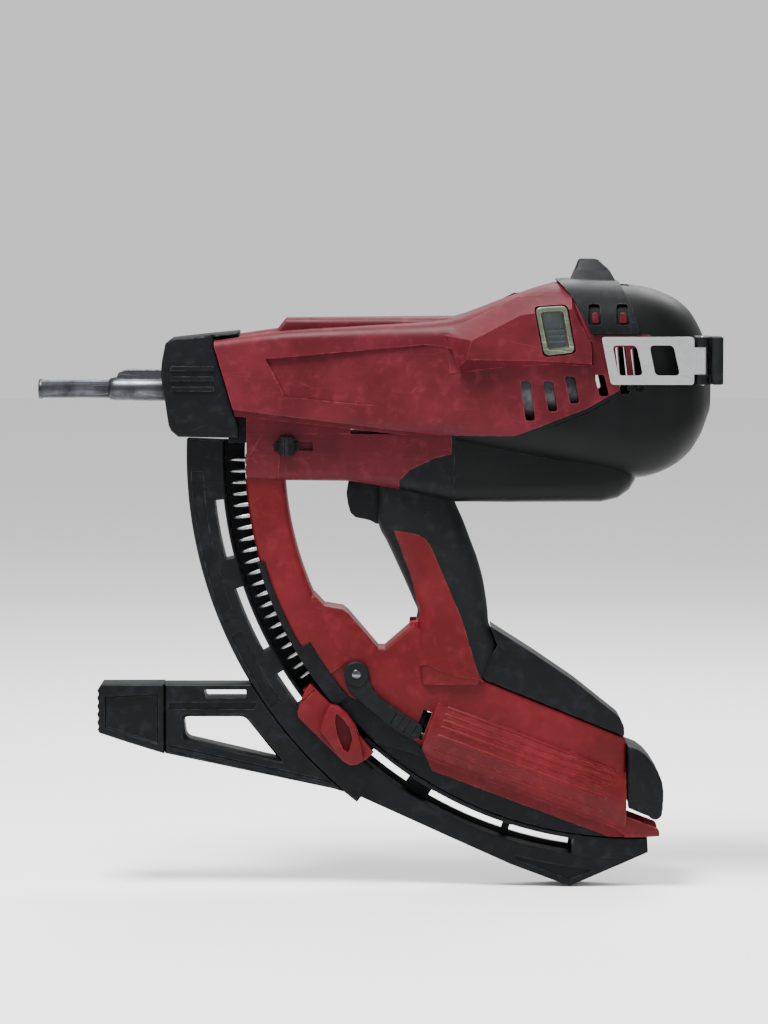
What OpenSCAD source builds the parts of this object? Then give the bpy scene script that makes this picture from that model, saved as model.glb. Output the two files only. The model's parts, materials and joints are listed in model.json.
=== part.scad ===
// Gas-actuated nailer for concrete and steel, with a curved magazine of collated nails.
// Muzzle points to -X, the grip hangs down, +Z is up. The origin is where the firing
// axis meets the front face of the fastener guide. The tool's left side faces -Y.

/* [Nose] */
// Outer radius of the slim fastener guide
guide_r = 5.85; // [5.7:0.05:6]
// Radius of the bore that the nails leave through
bore_r = 3.6; // [3.5:0.05:3.8]
// Length of the slim part of the guide
guide_len = 46; // [44:1:48]
// Outer radius of the thicker guide sleeve
sleeve_r = 7.6; // [7.4:0.1:7.8]
// How far the nose presses in before the tool can fire
press_travel = 36; // [30:1:36]

/* [Body] */
// Half width of the body at the combustion chamber
body_half_w = 54; // [54:1:57]
// Half width of the grip
grip_half_w = 19; // [17:1:21]
// Half width of the guard arc
guard_half_w = 17; // [16:1:18]
// Half width of the base beside the gas can's tube
base_half_w = 16; // [15:1:17]
// Radius of the gas can
can_r = 18; // [17:0.5:18.5]

/* [Magazine] */
// Radius of the magazine's outer edge about the centre of the arc
mag_outer_r = 280.6; // [279:0.2:282]
// Half width of the magazine frame
mag_half_w = 12; // [11:0.5:12]
// Number of nails in the strip
nail_count = 21; // [10:1:21]
// Distance between two nails along the arc
nail_pitch = 7.4; // [7.3:0.1:7.4]
// Radius of a nail's shank
nail_r = 1.5; // [1.3:0.1:1.5]

/* [Hidden] */

$fn = 64;
FINE = 96;          // facets of long arcs that stay exact circles
SOFT = 32;          // facets inside hulls
fit = 0.05;         // radial clearance of a running fit
gap = 0.4;          // clearance between parts that pass each other

// The curved magazine, the guard and the pusher all follow arcs about this centre.
arc_x = 374.8;
arc_z = -42.3;
guard_r0 = 218.5;                 // guard's inner edge, the front of the hand hole
guard_r1 = 243.5;                 // guard's outer edge
track_r0 = 244;                   // nail track, inner side
track_r1 = 256.6;                 // nail track, outer side
tip_r = 255.6;                    // where the nail tips end
head_r = 236.6;                   // where the nail heads sit
rail_r = 247;                     // outer face of the rail that the pusher runs on
tail_web_r = 262;                 // inner web of the tail
pitch_deg = nail_pitch / 251 * 180 / PI;
first_nail_deg = 0.6;

// Centre line of the gas can, sloping down to the rear.
can_x = 247;
can_z = -214;
can_len = 118;
can_tilt = 20.7;

// Hinge of the can cover, at the lower rear corner of the base.
cover_x = 392.5;
cover_z = -270;

// Pivot of the latch lever.
latch_x = 202;
latch_z = -180;

// Belt hook hinge.
hook_x = 417.5;
hook_y = -59.5;

// ---------------------------------------------------------------- helpers

// Extrudes an outline drawn in X and Z between two planes across the tool.
module across(y0, y1) {
  rotate([90, 0, 0]) translate([0, 0, -y1]) linear_extrude(y1 - y0) children();
}

// A tube or rod along X between two stations.
module along_x(x0, x1, r, z = 0) {
  translate([x0, 0, z]) rotate([0, 90, 0]) cylinder(r = r, h = x1 - x0);
}

module tube_x(x0, x1, r_out, r_in) {
  difference() {
    along_x(x0, x1, r_out);
    along_x(x0 - 1, x1 + 1, r_in);
  }
}

// A rod across the tool.
module pin_y(x, z, r, y0, y1) {
  translate([x, y0, z]) rotate([-90, 0, 0]) cylinder(r = r, h = y1 - y0);
}

// A curved bar about the magazine's centre. Angles run down from the horizontal.
module arc_bar(r0, r1, y0, y1, a0, a1) {
  translate([arc_x, 0, arc_z]) rotate([90, 0, 0]) rotate([0, 0, 180 + a0])
    rotate_extrude(angle = a1 - a0, $fn = 4 * SOFT) translate([r0, -y1]) square([r1 - r0, y1 - y0]);
}

// A see-through slot along the arc with round ends.
module arc_slot(r, w, a0, a1, y0 = -40, y1 = 40) {
  arc_bar(r - w / 2, r + w / 2, y0, y1, a0, a1);
  for (a = [a0, a1]) {
    pin_y(arc_x - r * cos(a), arc_z - r * sin(a), w / 2, y0, y1);
  }
}

// Points of an arc about the magazine's centre.
function arc_points(r, a0, a1, n) =
  [for (i = [0 : n]) let (a = a0 + (a1 - a0) * i / n) [arc_x - r * cos(a), arc_z - r * sin(a)]];

// A thin cross-section of the body at station x with rounded corners.
module station(x, half_w, z_lo, z_hi, r) {
  translate([x, 0, 0]) rotate([90, 0, 90])
    for (sy = [-1, 1], z = [z_lo + r, z_hi - r])
      translate([sy * (half_w - r), z, 0]) cylinder(r = r, h = 0.1, $fn = SOFT);
}

// ---------------------------------------------------------------- body shape

// The chamber end of the body, which widens and then keeps its width.
module chamber_zone() {
  hull() {
    station(265, 45, -31, 46.4, 16);
    station(328, body_half_w, -45, 67.6, 32);
  }
  hull() {
    station(328, body_half_w, -45, 67.6, 32);
    station(376, body_half_w, -55, 66.5, 36);
  }
}

// Front and middle of the body, from the nose to the chamber.
module upper_body() {
  hull() {
    station(112, 27, -15, 34.5, 7);
    station(156, 34, -19, 45, 9);
  }
  hull() {
    station(156, 34, -19, 45, 9);
    station(265, 45, -31, 46.4, 16);
  }
  chamber_zone();
}

// Rounded rear end.
module rear_dome() {
  hull() {
    station(376, body_half_w, -55, 66.5, 36);
    station(404, body_half_w - 4, -46, 58, 36);
    station(418, body_half_w - 16, -30, 40, 30);
    station(425.5, body_half_w - 30, -14, 22, 16);
  }
}

// Lower block under the body, from the hand hole to the rear.
module lower_front() {
  hull() {
    station(132.5, 20, -57, -10, 6);
    station(198, 24, -57.5, -10, 7);
  }
}

module lower_middle() {
  hull() {
    station(198, 24, -57.5, -10, 7);
    station(264, 34, -70, -18, 10);
  }
}

module lower_rear() {
  hull() {
    station(264, 34, -70, -18, 10);
    station(366, 40, -70, -20, 12);
    station(378, 36, -61, -20, 12);
  }
}

// Side outline of the red part of the body.
module red_zone() {
  polygon([
    [112.4, 28], [112.4, 80], [330, 80], [341, 57], [349, 36], [352, 36], [386, 36],
    [381, 10], [346, -9.5], [301, -27.2], [230, -27.2], [198, -27.2], [198, -70],
    [128, -70], [128, -24]
  ]);
}

// Space inside the body for the cylinder and the chamber.
module engine_space() {
  along_x(116, 262, 26);
  along_x(258, 398, 42.5);
  translate([140, -6, 20]) cube([122, 12, 21]);
  translate([100, -9, -24]) cube([54, 18, 58]);
}

// Raised pod on the left and right cheeks that frames the window.
module cheek_pod(side) {
  mirror([0, side > 0 ? 1 : 0, 0]) hull() {
    across(-58, -57) polygon([
        [272, 34], [306, 50], [338, 53], [344.5, 39], [349, 30], [349, 18], [310, 20], [268, 20]
    ]);
    across(-44, -43) polygon([
      [258, 36], [304, 58], [337, 60], [346, 41], [352, 33], [353, 14], [310, 14], [262, 12]
    ]);
  }
}

module window_hole(side) {
  mirror([0, side > 0 ? 1 : 0, 0]) across(-60, -40) polygon([
    [314.5, 51.5], [332.5, 52.5], [337.5, 25], [320, 23]
  ]);
}

vent_tops = [[304, 6, 24], [318, 6, 18.5], [331.5, 9, 16.5], [350, 10, 12.5], [364, 5.5, 7], [378, 5.5, 5]];

// Slanted row of cooling slots on both cheeks.
module vents() {
  for (v = vent_tops)
    across(-70, 70) polygon([
      [v[0], v[1]], [v[0] + 8.5, v[1]], [v[0] + 10.5, v[1] - v[2]], [v[0] + 4, v[1] - v[2]]
    ]);
}

// ---------------------------------------------------------------- lower frame

// Red insert in the side of the grip.
module insert_outline() {
  polygon([
    [229, -89.5], [244, -93], [250.3, -102.4], [269.2, -146], [279.3, -180],
    [283.5, -184.8], [241.5, -184.8], [238.5, -148], [242, -143], [236.5, -118]
  ]);
}

// Base that holds the gas can, bounded below by the magazine's arc.
module base_outline() {
  polygon(concat(
    [[175, -130], [181.5, -137], [193.4, -139], [197, -142], [216, -164.3], [220, -164.3],
     [238.7, -148.3], [279, -181], [283.5, -184.8], [372.5, -221.2], [374, -225],
     [374, -262], [396, -273.5]],
    arc_points(guard_r1, 94.8, 23.6, 12)
  ));
}

module can_axis() {
  translate([can_x, 0, can_z]) rotate([0, 90 + can_tilt, 0]) children();
}

// Round tube of the base with raised ribs along its left and right sides.
module can_tube() {
  can_axis() cylinder(r = can_r + 5, h = can_len + 11);
  can_axis() for (a = [-40 : 20 : 40], s = [0, 180]) {
    rotate([0, 0, 90 + s + a]) translate([can_r + 4, 0, 8]) cylinder(r = 2.2, h = can_len - 4, $fn = 24);
  }
}

// Solid red frame: guard, base, can tube and grip insert.
module frame_solid() {
  arc_bar(guard_r0, guard_r1, -guard_half_w, guard_half_w, 3.4, 35.5);
  across(-base_half_w, base_half_w) base_outline();
  across(-grip_half_w, grip_half_w) insert_outline();
  intersection() {
    can_tube();
    translate([200, -60, -290]) cube([174, 120, 150]);
  }
}

// Everything cut away inside and around the red frame.
module frame_cuts() {
  arc_bar(231, track_r0 + 3, -5.5, 5.5, -6, 43);
  can_axis() translate([0, 0, -6]) cylinder(r = can_r + 0.5, h = can_len + 60);
  translate([378, -12.6, -290]) cube([30, 25.2, 40]);
  pin_y(cover_x, cover_z, 2.5, -60, 60);
  pin_y(latch_x, latch_z, 3, -60, -10);
  screw_holes();
}

// Depth from the mid plane at which each housing screw's head seats.
screw_seat = 13;

screw_places = [
  [147, -32], [155.4, -89.7], [168.1, -130], [182.5, -153.3], [255, -172], [228, -226],
  [330, -276], [364, -232]
];

module screw_holes() {
  for (p = screw_places) {
    pin_y(p[0], p[1], 2.05, -10, 60);
  }
}

module screw_pockets() {
  for (p = screw_places) {
    pin_y(p[0], p[1], 4.5, screw_seat, 60);
  }
}

// ---------------------------------------------------------------- nose

module fastener_guide() {
  color("silver") difference() {
    union() {
      along_x(0, guide_len + 14, guide_r);
      along_x(0, 2.6, guide_r + 0.55);
    }
    along_x(-1, guide_len + 20, bore_r);
  }
}

module guide_sleeve() {
  color("dimgray") difference() {
    union() {
      along_x(guide_len + 3, 112, sleeve_r);
      translate([guide_len - 1, 0, 0]) rotate([0, 90, 0])
        cylinder(r1 = guide_r + 0.4, r2 = sleeve_r, h = 4, $fn = FINE);
    }
    along_x(guide_len - 5, guide_len + 14, guide_r);
    along_x(guide_len + 10, 120, bore_r);
  }
}

module contact_bar() {
  color("darkslategray") difference() {
    translate([guide_len + 3, -4, 4]) cube([109 - guide_len, 8, 8.6]);
    along_x(guide_len - 1, 120, sleeve_r);
  }
}

// Rod above the cylinder that carries the nose's travel back to the chamber sleeve.
module press_linkage() {
  color("gray") union() {
    translate([104, -4, 12.6]) cube([8, 8, 18]);
    along_x(108, 266, 2.5, 31);
    along_x(160, 163, 4.5, 31);
    difference() {
      translate([262, -4, 28.4]) cube([6, 8, 13]);
      along_x(200, 300, 24.5);
    }
  }
}

module chamber_sleeve() {
  color("gainsboro") tube_x(268, 352, 41, 38);
}

// Helical wire, made of rings of points along the coil.
module coil(r, wire_r, pitch, turns, steps = 18, sides = 6) {
  rings = turns * steps;
  points = [for (i = [0 : rings], j = [0 : sides - 1])
    let (a = 360 * i / steps, b = 360 * j / sides, rr = r + wire_r * cos(b))
    [rr * cos(a), rr * sin(a), pitch * i / steps + wire_r * sin(b)]];
  walls = [for (i = [0 : rings - 1], j = [0 : sides - 1])
    let (k = (j + 1) % sides)
    [i * sides + j, i * sides + k, (i + 1) * sides + k, (i + 1) * sides + j]];
  caps = [[for (j = [0 : sides - 1]) sides - 1 - j], [for (j = [0 : sides - 1]) rings * sides + j]];
  polyhedron(points, concat(walls, caps), convexity = 8);
}

module press_spring() {
  color("silver") translate([164, 0, 31]) rotate([0, 90, 0]) coil(3.6, 0.55, 5, 15, 14, 6);
}

nose_outline = [
  [78.4, 11.5], [81.6, 29.7], [85, 32.5], [127.7, 37], [127.7, 34], [112.2, 34],
  [112.2, 28], [127.8, -24], [127.8, -30], [89.5, -29.3], [85, -25.5], [83.4, -22]
];

// Black nose block around the guide, with three ribs along each side.
module nose_cone() {
  color("#1c1d20") difference() {
    union() {
      across(-22, 22) polygon(nose_outline);
      for (z = [14, 7.5, 1], y = [-23, 21]) {
        translate([85, y, z - 1.4]) cube([27, 2, 2.8]);
      }
    }
    along_x(60, 140, sleeve_r + fit);
    translate([70, -4.3, 0]) cube([60, 8.6, 13]);
    translate([100, -9, -23]) cube([40, 18, 56]);
    along_x(106, 140, 2.8, 31);
    // space where the nails rise to the firing axis
    translate([arc_x - track_r1, -5.5, -40]) cube([20, 11, 40]);
  }
}

// ---------------------------------------------------------------- housings

// One half of the red housing: side -1 is the left half.
module housing(side) {
  difference() {
    intersection() {
      union() {
        upper_body();
        lower_front();
        rear_dome();
        cheek_pod(side);
        frame_solid();
      }
      union() {
        across(-90, 90) red_zone();
        translate([100, -90, -320]) cube([320, 180, 263]);
      }
      translate([0, side < 0 ? -100 : 0, -400]) cube([500, 100, 600]);
    }
    engine_space();
    across(-90, 90) polygon([[100, 34.2], [100, -30], [127.8, -24], [112.3, 28]]);
    window_hole(side);
    vents();
    frame_cuts();
    if (side > 0) screw_pockets();
    if (side < 0) adjuster_groove();
    // room behind the nails and for the magazine's top end
    arc_bar(guard_r1, 300, -13, 13, -4, 12);
    nose_clearance();
  }
}

// Space in the body for the nose block's rear end and the sleeve that passes through it.
module nose_clearance() {
  translate([100, -22.2, -31]) cube([28, 44.4, 68.4]);
}

module housing_left() {
  color("#8e1726") housing(-1);
}

module housing_right() {
  color("#8e1726") housing(1);
}

// Black rear end of the body, behind and below the red halves.
module rear_housing() {
  color("#191a1d") difference() {
    union() {
      chamber_zone();
      rear_dome();
      lower_rear();
    }
    across(-90, 90) red_zone();
    engine_space();
    vents();
    filter_pocket(0);
  }
}

// Pocket for the air filter, under the cover on top.
module filter_pocket(inset) {
  translate([353 + inset, inset - 22, 50]) cube([21 - 2 * inset, 44 - 2 * inset, 40]);
}

// Room for the trigger, its spring and the igniter behind it.
module trigger_space() {
  translate([190, -8.4, -86.4]) cube([37.6, 16.8, 45.4]);
  along_x(227, 238, 4.5, -73);
  along_x(227, 258, 6.05, -47);
}

module trigger_housing() {
  color("#17181a") difference() {
    lower_middle();
    across(-90, 90) red_zone();
    translate([264, -90, -100]) cube([60, 180, 100]);
    engine_space();
    trigger_space();
  }
}

grip_outline = [
  [215.5, -60.9], [215.5, -88], [218, -89.7], [221.2, -96.1], [240.8, -139], [242, -143],
  [236.5, -118], [229, -89.5], [244, -93], [250.3, -102.4], [269.2, -146], [279.3, -180],
  [291.4, -162.4], [286.3, -149.8], [282.5, -120.7], [274.3, -95.4], [264, -70.1]
];

// Soft black rubber in front of and behind the grip's red insert.
module grip_rubber() {
  color("#202427") difference() {
    across(-grip_half_w, grip_half_w) polygon(grip_outline);
    trigger_space();
  }
}

module rear_panel() {
  color("#1d2023") across(-base_half_w - 1, base_half_w + 1) polygon([
    [286.3, -149.8], [314.7, -167.5], [340.6, -185.2], [369.1, -208.6], [372.5, -221.2],
    [283.5, -184.8], [279.3, -180], [291.4, -162.4]
  ]);
}

// ---------------------------------------------------------------- trim of the body

window_corners = [[314.5, 51.5], [332.5, 52.5], [337.5, 25], [320, 23]];
window_inner = [[318, 48.5], [329.6, 49], [333.4, 28.2], [322.8, 27]];

// Worn metal frame of each window.
module window_bezel() {
  color("#6d7060") for (side = [-1, 1])
    mirror([0, side > 0 ? 1 : 0, 0]) difference() {
      across(-57.6, -48) polygon(window_corners);
      across(-59, -47) polygon(window_inner);
    }
}

module window_pane() {
  color("#23282a") for (side = [-1, 1])
    mirror([0, side > 0 ? 1 : 0, 0]) across(-48, -46) polygon(window_corners);
}

// The chamber end of the body, grown outwards for the cover that wraps it.
module chamber_shell(grow) {
  hull() {
    station(265, 45 + grow, -31 - grow, 46.4 + grow, 16 + grow);
    station(328, body_half_w + grow, -45 - grow, 67.6 + grow, 32 + grow);
  }
  hull() {
    station(328, body_half_w + grow, -45 - grow, 67.6 + grow, 32 + grow);
    station(380, body_half_w + grow, -55 - grow, 66.4 + grow, 36 + grow);
  }
}

// Black clip over the top of the body, with a fin to press and two windows on each side.
module filter_cover() {
  color("#131416") difference() {
    union() {
      intersection() {
        chamber_shell(2.2);
        across(-90, 90) polygon([
          [327, 69.5], [332, 66], [339.4, 56.9], [346.3, 42.5], [349.5, 36.8], [377.5, 36.8],
          [378.6, 38.6], [374.1, 53.7], [366, 69.2], [366, 73], [327, 73]
        ]);
      }
      across(-5, 5) polygon([
        [337, 66], [341.5, 80.5], [343, 82.6], [354, 83], [357.5, 80], [364, 66]
      ]);
    }
    chamber_shell(0.02);
    for (x = [347.5, 365.2]) translate([x, -90, 40]) cube([8.4, 180, 12.5]);
  }
}

module air_filter() {
  color("#3a3d3f") difference() {
    filter_pocket(0.3);
    translate([340, -40, 60]) cube([60, 80, 40]);
  }
}

// Side lugs on the rear end that hold the belt hook's pin, with a rubber bumper behind it.
module hook_bracket() {
  color("#151618") difference() {
    union() {
      for (z = [5.7, 29.2]) {
        translate([hook_x, hook_y, z]) cylinder(r = 4.2, h = 6.1);
        translate([hook_x - 4.2, hook_y, z]) cube([9.7, 24, 6.1]);
      }
      translate([423, -54, 5.7]) cube([3, 20, 29.6]);
      translate([423.8, -65, 5.7]) cube([6.6, 24, 29.6]);
    }
    translate([hook_x, hook_y, 0]) cylinder(r = 1.5, h = 50);
    rear_dome();
  }
}

module hook_pin() {
  color("silver") translate([hook_x, hook_y, 5.2]) cylinder(r = 1.5, h = 30.6);
}

strap_out = hook_y - 3.1;         // outer face of the strap

// Sprung steel strap with two windows, rolled around its pin at the rear.
module belt_hook() {
  color("silver") difference() {
    union() {
      across(strap_out, strap_out + 2) difference() {
        polygon([[354, 34], [356, 35.4], [412, 35.4], [412, 5.7], [362, 5.7], [359.8, 7]]);
        for (x = [361.5, 384.5])
          polygon([[x, 28], [x + 2, 30], [x + 14.5, 30], [x + 18.5, 13.5], [x + 16.5, 11.5], [x + 4, 11.5]]);
      }
      translate([411, strap_out, 12.2]) cube([6.5, 2, 16.6]);
      translate([hook_x, hook_y, 12.2]) cylinder(r = 3.1, h = 16.6);
    }
    translate([hook_x, hook_y, 0]) cylinder(r = 1.5 + fit, h = 50);
  }
}

// ---------------------------------------------------------------- trigger group

module trigger() {
  color("#101113") across(-8, 8) polygon([
    [196.6, -58.5], [195.8, -66], [197.5, -78], [200, -80.2], [211, -83.4], [214.5, -85.5],
    [221, -85.5], [221, -42], [205, -42], [205, -58.5]
  ]);
}

module trigger_spring() {
  color("silver") translate([221.7, 0, -73]) rotate([0, 90, 0]) coil(2.8, 0.45, 2.5, 6, 14, 6);
}

module piezo_igniter() {
  color("goldenrod") along_x(228, 257.5, 6, -47);
}

module depth_adjuster() {
  color("#101113") union() {
    translate([150, -22.8, -37.6]) cube([16, 4, 5.2]);
    translate([153, -26, -41]) cube([10, 3.4, 12]);
  }
}

// Groove in the left half that the depth adjuster slides in.
module adjuster_groove() {
  translate([149.6, -40, -38]) cube([25, 21.5, 6]);
}

// ---------------------------------------------------------------- engine

// Steel tube that the piston runs in, with its front plate, rear flange and spring lug.
module cylinder_tube() {
  color("lightsteelblue") union() {
    tube_x(152, 312, 24, 20);
    tube_x(150, 156, 25.8, 4.5);
    tube_x(306, 312, 37.5, 20);
    difference() {
      translate([240, -6, 20]) cube([4, 12, 16]);
      along_x(230, 250, 23.9);
      along_x(230, 250, 2.5 + fit, 31);
    }
  }
}

module bumper() {
  color("#222222") tube_x(156, 166, 19.95, 4.5);
}

// Piston with the driver rod that strikes the nail.
module piston() {
  color("silver") union() {
    along_x(292, 304, 19.95);
    along_x(142, 292, 3.3);
  }
}

module cylinder_head() {
  color("lightsteelblue") difference() {
    union() {
      along_x(386, 398, 37.5);
      along_x(393, 398, 42.3);
    }
    along_x(380, 400, 5);
  }
}

module spark_plug() {
  color("white") union() {
    along_x(380, 398, 5);
    along_x(374, 380, 1.2);
  }
}

// ---------------------------------------------------------------- gas supply

module gas_can() {
  color("gainsboro") can_axis() union() {
    cylinder(r = can_r, h = can_len - 4);
    translate([0, 0, can_len - 4]) cylinder(r = can_r - 2, h = 4);
  }
}

module metering_valve() {
  color("#2a2d30") can_axis() translate([0, 0, -5.9]) union() {
    cylinder(r = 12, h = 3);
    cylinder(r = 7, h = 5.9);
  }
}

cover_outline = [
  [374.4, -225.5], [381, -228], [389.3, -235.7], [396.2, -247.7], [397.2, -262], [374.4, -262]
];
cover_inside = [
  [370, -230], [380, -231.4], [387, -238], [393.2, -249], [394.2, -259.4], [370, -259.4]
];

// Rear flap over the gas can, hinged at its lower edge.
module can_cover() {
  color("#151618") difference() {
    union() {
      across(-23.5, 23.5) polygon(cover_outline);
      across(-12.2, 12.2) polygon([[387, -261], [397, -261], [397, -268], [388.4, -268]]);
      pin_y(cover_x, cover_z, 4.6, -12.2, 12.2);
    }
    across(-21, 21) polygon(cover_inside);
    pin_y(cover_x, cover_z, 2 + fit, -20, 20);
  }
}

module cover_pin() {
  color("silver") pin_y(cover_x, cover_z, 2, -base_half_w + 0.5, base_half_w - 0.5);
}

// Lever that frees the magazine, turning on a pin in the base.
module latch_lever() {
  color("#121315") difference() {
    union() {
      pin_y(latch_x, latch_z, 8, -22.4, -16.4);
      across(-21.6, -16.4) polygon([
        [194.2, -182], [209.6, -177.6], [214, -194], [242.5, -213.5], [241, -221], [223, -214],
        [203, -196]
      ]);
    }
    pin_y(latch_x, latch_z, 3 + fit, -40, 0);
  }
}

module latch_pin() {
  color("gray") pin_y(latch_x, latch_z, 3, -22.9, -10.2);
}

// ---------------------------------------------------------------- magazine

// Slots through the magazine: three beside the nails and three along the empty track.
module magazine_slots() {
  arc_slot(261.4, 5.4, 6.4, 14.1);
  arc_slot(261.4, 5.4, 19, 28);
  arc_slot(261.4, 5.4, 32.2, 36.8);
  arc_slot(250, 5.4, 49.8, 55.8);
  arc_slot(250, 5.4, 60.3, 71.2);
  arc_slot(250, 5.4, 73, 81.2);
}

// Curved black frame: outer web, back wall of the nail track, and the solid tail.
module magazine_frame() {
  color("#18191c") difference() {
    union() {
      arc_bar(track_r1, mag_outer_r, -mag_half_w, mag_half_w, -2.2, 52);
      arc_bar(track_r1, tail_web_r, -mag_half_w, mag_half_w, 51, 93);
      arc_bar(track_r0 + 0.2, track_r1 + 1, 8, mag_half_w, -2.2, 83);
      arc_bar(track_r0 + 0.2, rail_r, -mag_half_w, 9, 47, 83);
      arc_bar(track_r0 + 0.2, track_r1 + 1, -mag_half_w, mag_half_w, 82, 93);
      across(-mag_half_w, mag_half_w) polygon(concat(
        arc_points(tail_web_r - 3, 92, 50, 12),
        [[199, -257.2], [264.2, -286.9], [338.1, -317.3], [387.4, -295.6]]
      ));
    }
    magazine_slots();
  }
}

// Places something pointing outwards along the arc at angle a.
module at_arc(a) {
  translate([arc_x, 0, arc_z]) rotate([0, -a, 0]) rotate([0, -90, 0]) children();
}

module nail() {
  translate([0, 0, head_r]) cylinder(r = 3.3, h = 1, $fn = 24);
  translate([0, 0, head_r + 1]) cylinder(r = nail_r, h = tip_r - head_r - 4, $fn = 24);
  translate([0, 0, tip_r - 3]) cylinder(r1 = nail_r, r2 = 0.2, h = 3, $fn = 24);
}

module nails() {
  color("silver") for (i = [0 : nail_count - 1]) at_arc(first_nail_deg + i * pitch_deg) nail();
}

// Plastic sleeves that hold the nails in a strip.
module collation_strip() {
  color("#34312c") difference() {
    for (i = [0 : nail_count - 1])
      at_arc(first_nail_deg + i * pitch_deg) translate([0, 0, head_r + 2])
        cylinder(r = 3.62, h = 5, $fn = 24);
    for (i = [0 : nail_count - 1])
      at_arc(first_nail_deg + i * pitch_deg) translate([0, 0, head_r])
        cylinder(r = nail_r, h = 12, $fn = 24);
  }
}

// Red pusher behind the nails, with a finger loop outside the magazine.
module pusher() {
  color("#b3202c") difference() {
    union() {
      arc_bar(247.6, 255.2, -13, 6.5, 35.8, 41);
      across(-17, -mag_half_w - gap) polygon([
        [172.5, -186.4], [164.3, -204.8], [167.5, -211], [193.4, -236.4], [202.9, -238.3],
        [213, -230.7], [201, -216], [187.7, -201.6]
      ]);
      across(-25, -16.9) polygon([
        [186, -206], [177, -217], [193.4, -236.4], [202.9, -238.3], [213, -230.7], [201, -216]
      ]);
    }
    pin_y(195, -222.5, 6.2, -40, -5);
  }
}

// ---------------------------------------------------------------- support leg

// Leg that keeps the tool square to the work, with its slots and triangle.
module support_leg() {
  color("#141517") difference() {
    across(-mag_half_w, mag_half_w) polygon([
      [79.8, -187.6], [146, -187.6], [216, -250], [212, -262], [205.4, -260.4], [187, -254.8],
      [79.8, -232]
    ]);
    pin_y(arc_x, arc_z, mag_outer_r, -40, 40, $fn = 256);
    across(-40, 40) polygon([
      [91.6, -208.6], [130.8, -208.6], [151, -233.2], [148.5, -235.1], [95.4, -222.5], [92.3, -220]
    ]);
    across(-40, 40) polygon([[104.9, -192.1], [130.8, -192.1], [130.8, -195.4], [106, -195.4]]);
  }
}

module foot_pad() {
  color("#0f1011") difference() {
    across(-14, 14) polygon([[36.7, -188.8], [79.6, -187.4], [79.6, -232], [36.7, -218.3]]);
    for (y = [-15, 12.5]) across(y, y + 2.5)
      polygon([[41, -195.5], [76, -193.5], [76, -226.5], [41, -215.5]]);
    for (z = [-214 : 5 : -192]) translate([35.7, -9, z]) cube([2, 18, 2.4]);
  }
}

module housing_screws() {
  color("#8f9296") for (p = screw_places) difference() {
    union() {
      pin_y(p[0], p[1], 2, -9.5, screw_seat + 0.1);
      pin_y(p[0], p[1], 4, screw_seat, screw_seat + 2.6);
    }
    translate([p[0], screw_seat + 1, p[1]]) rotate([-90, 0, 0]) cylinder(r = 2, h = 5, $fn = 6);
  }
}

fastener_guide();
guide_sleeve();
contact_bar();
press_linkage();
chamber_sleeve();
press_spring();
nose_cone();
housing_left();
housing_right();
rear_housing();
trigger_housing();
grip_rubber();
rear_panel();
window_bezel();
window_pane();
filter_cover();
air_filter();
hook_bracket();
hook_pin();
belt_hook();
trigger();
trigger_spring();
piezo_igniter();
depth_adjuster();
cylinder_tube();
bumper();
piston();
cylinder_head();
spark_plug();
gas_can();
metering_valve();
can_cover();
cover_pin();
latch_lever();
latch_pin();
magazine_frame();
collation_strip();
nails();
pusher();
support_leg();
foot_pad();
housing_screws();
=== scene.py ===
"""A gas-actuated nailer for concrete: its visible pieces and finishes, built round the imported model.

Lengths are in millimetres until a piece is finished, when its mesh is scaled to metres. X runs
from the muzzle to the rear, Z is up, and the tool's left side faces -Y.
"""

import json
import logging
import math
from collections.abc import Iterator
from contextlib import contextmanager
from dataclasses import dataclass, field
from enum import Enum

import bmesh
import bpy
from mathutils import Matrix, Vector

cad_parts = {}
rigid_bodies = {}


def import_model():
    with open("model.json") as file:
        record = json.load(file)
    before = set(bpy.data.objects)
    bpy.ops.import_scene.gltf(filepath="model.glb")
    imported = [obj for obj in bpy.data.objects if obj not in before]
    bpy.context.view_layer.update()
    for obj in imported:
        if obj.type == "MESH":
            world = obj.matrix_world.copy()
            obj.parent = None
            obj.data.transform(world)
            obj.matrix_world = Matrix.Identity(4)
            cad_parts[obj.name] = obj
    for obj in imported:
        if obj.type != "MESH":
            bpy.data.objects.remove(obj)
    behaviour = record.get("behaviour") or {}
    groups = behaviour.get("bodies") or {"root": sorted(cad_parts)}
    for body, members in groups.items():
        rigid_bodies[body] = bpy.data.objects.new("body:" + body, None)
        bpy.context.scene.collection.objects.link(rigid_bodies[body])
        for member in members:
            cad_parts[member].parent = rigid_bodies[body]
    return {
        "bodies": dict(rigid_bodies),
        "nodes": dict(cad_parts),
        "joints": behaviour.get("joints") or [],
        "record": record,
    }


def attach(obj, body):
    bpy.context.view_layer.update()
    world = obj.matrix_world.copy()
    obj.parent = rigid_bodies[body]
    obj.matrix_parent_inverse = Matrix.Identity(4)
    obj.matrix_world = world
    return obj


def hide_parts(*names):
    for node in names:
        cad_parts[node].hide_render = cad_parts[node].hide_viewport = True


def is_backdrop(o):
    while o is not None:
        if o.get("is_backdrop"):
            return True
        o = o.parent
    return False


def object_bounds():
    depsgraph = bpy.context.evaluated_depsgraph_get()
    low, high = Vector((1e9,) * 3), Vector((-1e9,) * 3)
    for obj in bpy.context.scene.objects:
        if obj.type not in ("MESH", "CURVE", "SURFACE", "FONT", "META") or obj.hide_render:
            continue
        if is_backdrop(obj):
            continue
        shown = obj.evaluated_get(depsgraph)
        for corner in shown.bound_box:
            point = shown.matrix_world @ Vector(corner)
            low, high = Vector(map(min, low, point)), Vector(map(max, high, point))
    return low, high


LOG = logging.getLogger("nailer")
MM = 0.001

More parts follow.
